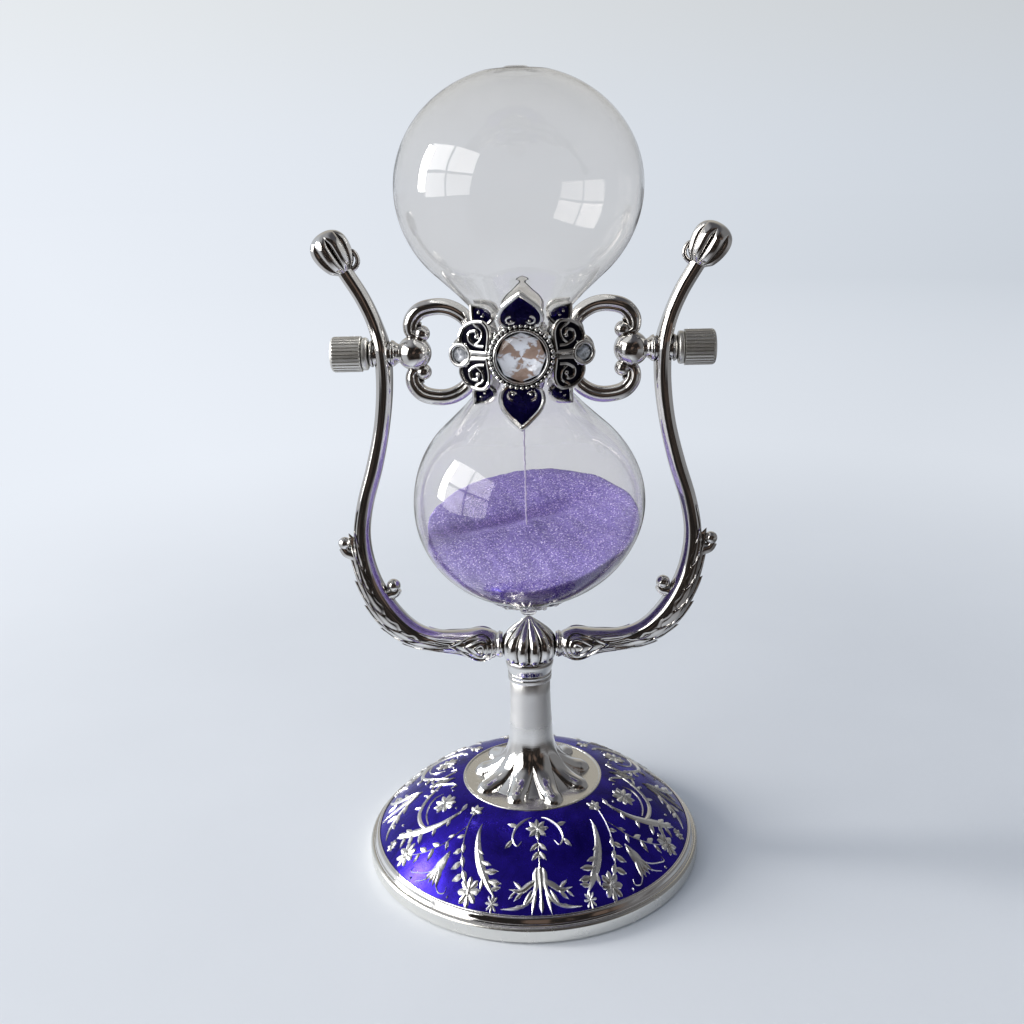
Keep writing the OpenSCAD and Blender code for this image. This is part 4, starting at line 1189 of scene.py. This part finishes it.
def build():
    piece("base_band", base_band(), satin_silver, "stand", ["base_rim"])
    piece("base_moulding", base_bead(), bright_silver, "stand")
    piece("base_enamel", base_enamel(), cobalt_enamel, "stand", ["base_dome"])
    piece("base_flowers", base_relief(), relief_silver, "stand", sharp=24)
    piece("disc_plate", foot_disc(), satin_silver, "stand", ["foot_disc"])
    piece("stem_and_foot", stem_form(), stem_silver, "stand", ["stem"], sharp=60)
    piece("stem_flare", ferrule(), bright_silver, "stand", ["stem_ferrule"])
    piece("fluted_bud", hub_bud(), bright_silver, "stand", ["hub_bud"], sharp=70)
    arm, finial = arm_form(), finial_form()
    for side, arm_side, finial_side in (("right", arm, finial), ("left", arm.mirrored(), finial.mirrored())):
        piece(f"{side}_yoke_arm", arm_side, bright_silver, "stand", [f"{side}_arm"])
        piece(f"{side}_bud", finial_side, bright_silver, "stand", [f"{side}_finial"], sharp=60)

    piece("blown_glass", glass_form(), clear_glass, "hourglass", ["upper_bulb", "lower_bulb"], sharp=180)
    piece("sand_heap", sand_form(), lilac_sand, "hourglass", ["sand"], sharp=180)
    piece("sand_thread", stream_form(), falling_sand, "hourglass", ["sand_stream"], sharp=180)

    silver, colour, cells, plates = collar_parts()
    bezel = bezel_form()
    stone = gem_form(5.95, 0.35, 1.75, 0.42, 8)
    foil = foil_form(5.78, 0.6, 8)
    small = gem_form(1.95, 0.3, 0.75, 0.5, 8)
    small_foil = foil_form(1.8, 0.3, 8)
    small_ring = turned([[1.95, 0], [3.1, 0], [3.1, 0.7], [2.8, 1.05], [2.3, 1.05], [1.95, 0.6]], (0, 0),
                        0.25, 64)
    rings, stones, backs = Form(), Form(), Form()
    for name, side in (("front", -1), ("back", 1)):
        turn = matrix(facing(side))
        piece(f"{name}_rosette", silver.moved(turn), collar_silver, "hourglass", [f"{name}_medallion"])
        piece(f"{name}_plates", plates.moved(turn), pale_silver, "hourglass")
        piece(f"{name}_petal_fill", colour.moved(turn), dark_enamel, "hourglass", [f"{name}_enamel"])
        piece(f"{name}_cell_fill", cells.moved(turn), black_enamel, "hourglass")
        piece(f"{name}_stone_ring", bezel.moved(turn), bezel_silver, "hourglass", [f"{name}_bezel"])
        up = matrix(facing(side) @ shift(0, 0, plate_z + stone_lift))
        piece(f"{name}_stone", stone.moved(up), crystal, "hourglass", [f"{name}_gem"], sharp=1)
        up = matrix(facing(side) @ shift(0, 0, plate_z + foil_lift))
        piece(f"{name}_foil", foil.moved(up), gem_foil, "hourglass", sharp=1)
        for place in side_stone_places():
            parts = ((rings, small_ring, 0), (stones, small, 0.12), (backs, small_foil, 0.45))
            for whole, part, lift in parts:
                whole.join(part.moved(matrix(facing(side) @ place @ shift(0, 0, lift))))
    piece("small_rings", rings, bezel_silver, "hourglass", ["side_bezels"])
    piece("small_stones", stones, crystal, "hourglass", ["side_gems"], sharp=1)
    piece("small_foils", backs, side_foil, "hourglass", sharp=1)

    bracket, spacer, washer, knob = bracket_form(), spacer_form(), washer_form(), knob_form()
    for side in ("right", "left"):
        if side == "left":
            bracket, spacer, washer, knob = (f.mirrored() for f in (bracket, spacer, washer, knob))
        piece(f"{side}_scrolls", bracket, bright_silver, "hourglass", [f"{side}_bracket"])
        piece(f"{side}_ring", spacer, bright_silver, "hourglass", [f"{side}_spacer"])
        piece(f"{side}_disc", washer, bright_silver, f"{side}_washer", [f"{side}_washer"])
        piece(f"{side}_grip", knob, knob_silver, f"{side}_knob", [f"{side}_knob"], sharp=42)

    kept = {
        ballast_iron: ["base_weight"], grey_felt: ["felt_pad"], clear_rubber: ["neck_liner"],
        turned_steel: ["tie_rod", "tie_nut", "tie_washer", "left_bushing", "right_bushing", "collar_rivets",
                       "left_stud", "right_stud"],
        bright_silver: ["front_collar", "back_collar"],
    }
    for material, nodes in kept.items():
        for n in nodes:
            mesh = frame["nodes"][n].data
            mesh.materials.clear()
            mesh.materials.append(material)


build()


# ---- floor, light and camera ----

# Backdrop colours, painted light: lighter on the left towards the window, darker to the right and far right
left_wall, right_wall, high_wall = (0.825, 0.87, 0.94), (0.70, 0.742, 0.805), (0.80, 0.83, 0.85)
far_right_wall = (0.595, 0.64, 0.70)


def make_floor():
    """A wide pale floor that fades into a glowing backdrop, painted lighter on the left. In mirrors it shows
    painted
    reflections: mid grey beyond the base, and a dark room in front and on the right.
    """
    s = Shader("floor")
    far = s.add("VectorMath", {0: s.where}, operation="LENGTH").outputs["Value"]
    x, y, _ = s.xyz(s.where)
    paper = s.cloud(9, 3, (0.3, (0.715, 0.735, 0.765)), (0.7, (0.745, 0.765, 0.795)))
    s.set(Base_Color=paper, Roughness=0.7, Specular_IOR_Level=0.25,
          Normal=s.bump(s.noise(1800, 3), 0.03, 0.5))
    # painted light: far off the floor turns into a glowing backdrop, lighter on the left and darker to the
    # right
    across = s.span(s.math("DIVIDE", x, far), -0.45, 0.45)
    wall = s.glow(s.mix(across, left_wall, s.mix(s.span(far, 0.5, 1.8), right_wall, far_right_wall)))
    shown = s.either(s.span(far, 0.12, 0.52, smooth=True), s.bsdf.outputs[0], wall)
    # painted reflections: in mirrors the floor beyond the base is a flat mid grey, and in front and on the
    # right a dark room
    path = s.add("LightPath").outputs
    mirrored = s.math("MULTIPLY", path["Is Glossy Ray"], s.math("SUBTRACT", 1.0, path["Is Transmission Ray"]))
    dim = s.math("MULTIPLY", s.span(far, 0.07, 0.14, 0.0, 0.62), mirrored)
    shown = s.either(dim, shown, s.glow((0.25, 0.24, 0.235)))
    painted_dark_reflection = s.glow(s.mix(s.cloud(5, 3, (0.45, 0.0), (0.6, 1.0)), (0.014, 0.012, 0.011), (0.05, 0.038, 0.032)))
    front = s.math("MULTIPLY", s.span(s.math("DIVIDE", y, far), -0.60, -0.80, smooth=True),
                   s.span(far, 0.12, 0.22, smooth=True))
    right = s.math("MULTIPLY", s.span(x, 0.02, 0.12, 0.0, 0.8), s.span(x, 0.20, 0.42, 1.0, 0.55))
    s.surface(s.either(s.math("MULTIPLY", s.math("MAXIMUM", front, right), mirrored), shown, painted_dark_reflection))
    rings = [ring(r, around(64), 0) for r in (1, 200, 500, 1200, 3000, 9000)]
    floor = show("floor", Form().skin(rings, ends=(True, False)), s.material)


def make_world():
    """Even light for what is matt, a pale backdrop for what is seen straight, a plain room for mirrors."""
    world = bpy.data.worlds.new("room")
    bpy.context.scene.world = world
    world.use_nodes = True
    w = Nodes(world.node_tree)
    w.tree.nodes.clear()
    w.where = w.add("TexCoord").outputs["Generated"]
    x, y, z = w.xyz(w.where)

    def fade(value, low, high, a, b):
        return w.mix(w.span(value, low, high, smooth=True), a, b)

    blotch = w.noise(3.4, roughness=0.5)
    pale = fade(z, 0.12, 0.4, (0.52, 0.55, 0.59), (0.44, 0.415, 0.37))
    room = fade(y, 0.12, 0.6, (0.07, 0.065, 0.06), pale)
    room = fade(x, -0.3, -0.75, room, (0.52, 0.55, 0.59))
    room = fade(x, 0.25, 0.7, room, (0.17, 0.17, 0.175))
    room = fade(y, -0.3, -0.65, room, fade(blotch, 0.52, 0.64, (0.016, 0.014, 0.013), (0.12, 0.085, 0.068)))
    room = fade(z, 0.6, 0.88, room, fade(x, 0.1, -0.4, (0.08, 0.08, 0.09), (0.34, 0.345, 0.36)))
    path = w.add("LightPath").outputs
    # painted light: the backdrop seen straight is lighter on the left and darker to the right, and darker
    # high up on the right
    across = w.span(x, -0.45, 0.45)
    backdrop = fade(z, 0.0, 0.2, w.mix(across, left_wall, far_right_wall),
                    w.mix(across, high_wall, [0.71 * c for c in high_wall]))
    even = fade(x, -0.8, 0.8, (0.50, 0.545, 0.61), (0.35, 0.385, 0.445))
    shown = w.mix(w.math("MAXIMUM", path["Is Camera Ray"], path["Is Transmission Ray"]),
                  w.mix(path["Is Diffuse Ray"], room, even), backdrop)
    background = w.add("Background", {"Color": shown, "Strength": 1.0}).outputs[0]
    w.add("OutputWorld", {"Surface": background})


def add_pane(centre, aim, width, height, power, through_glass=True):
    """A soft rectangular light, out of the camera's sight."""
    light = bpy.data.lights.new("pane", "AREA")
    light.shape = "RECTANGLE"
    light.size, light.size_y = width, height
    light.energy = power
    light.color = (1.0, 0.985, 0.96)
    lamp = bpy.data.objects.new("pane", light)
    lamp.location = centre
    lamp.rotation_mode = "QUATERNION"
    lamp.rotation_quaternion = aim
    lamp.visible_camera = False
    lamp.visible_transmission = through_glass
    bpy.context.scene.collection.objects.link(lamp)


def make_window():
    """A window with four panes on the left, and a narrow one beside it that throws the shadow."""
    aim = Vector((0, 0, 0.11))
    centre = Vector((-1.615, -0.714, 0.637))
    turn = (aim - centre).to_track_quat("-Z", "Y")
    right, up = turn @ Vector((1, 0, 0)), turn @ Vector((0, 1, 0))
    width, height, bar = 0.85, 0.68, 0.075
    for i, k, power in ((-0.5, -0.5, 5.2), (0.5, -0.5, 4.4), (-0.5, 0.5, 7.6), (0.5, 0.5, 6.4)):
        add_pane(centre + right * i * (width + bar) + up * k * (height + bar), turn, width, height, power)
    side = Vector((-1.7, 0.14, 0.62))
    add_pane(side, (aim - side).to_track_quat("-Z", "Y"), 0.3, 1.0, 27, through_glass=False)


def make_camera():
    """The photograph's view: its place, and the way it looks, by yaw, height and roll."""
    yaw, down, roll = math.radians(-2.14), math.radians(16.64), math.radians(1.567)
    ahead = Vector((math.sin(yaw) * math.cos(down), math.cos(yaw) * math.cos(down), -math.sin(down)))
    right = Vector((math.cos(yaw), -math.sin(yaw), 0))
    up = right.cross(ahead)
    x = math.cos(roll) * right - math.sin(roll) * up
    y = math.sin(roll) * right + math.cos(roll) * up
    camera = bpy.data.objects.new("camera", bpy.data.cameras.new("camera"))
    camera.matrix_world = Matrix((x, y, -ahead)).transposed().to_4x4()
    camera.location = Vector((6.53, -270.98, 176.43)) * MM
    camera.data.sensor_width = 36
    camera.data.lens = 39.02
    camera.data.clip_start = 0.01
    bpy.context.scene.collection.objects.link(camera)
    bpy.context.scene.camera = camera


make_floor()
make_world()
make_window()
make_camera()
bpy.context.scene.view_settings.view_transform = "Standard"
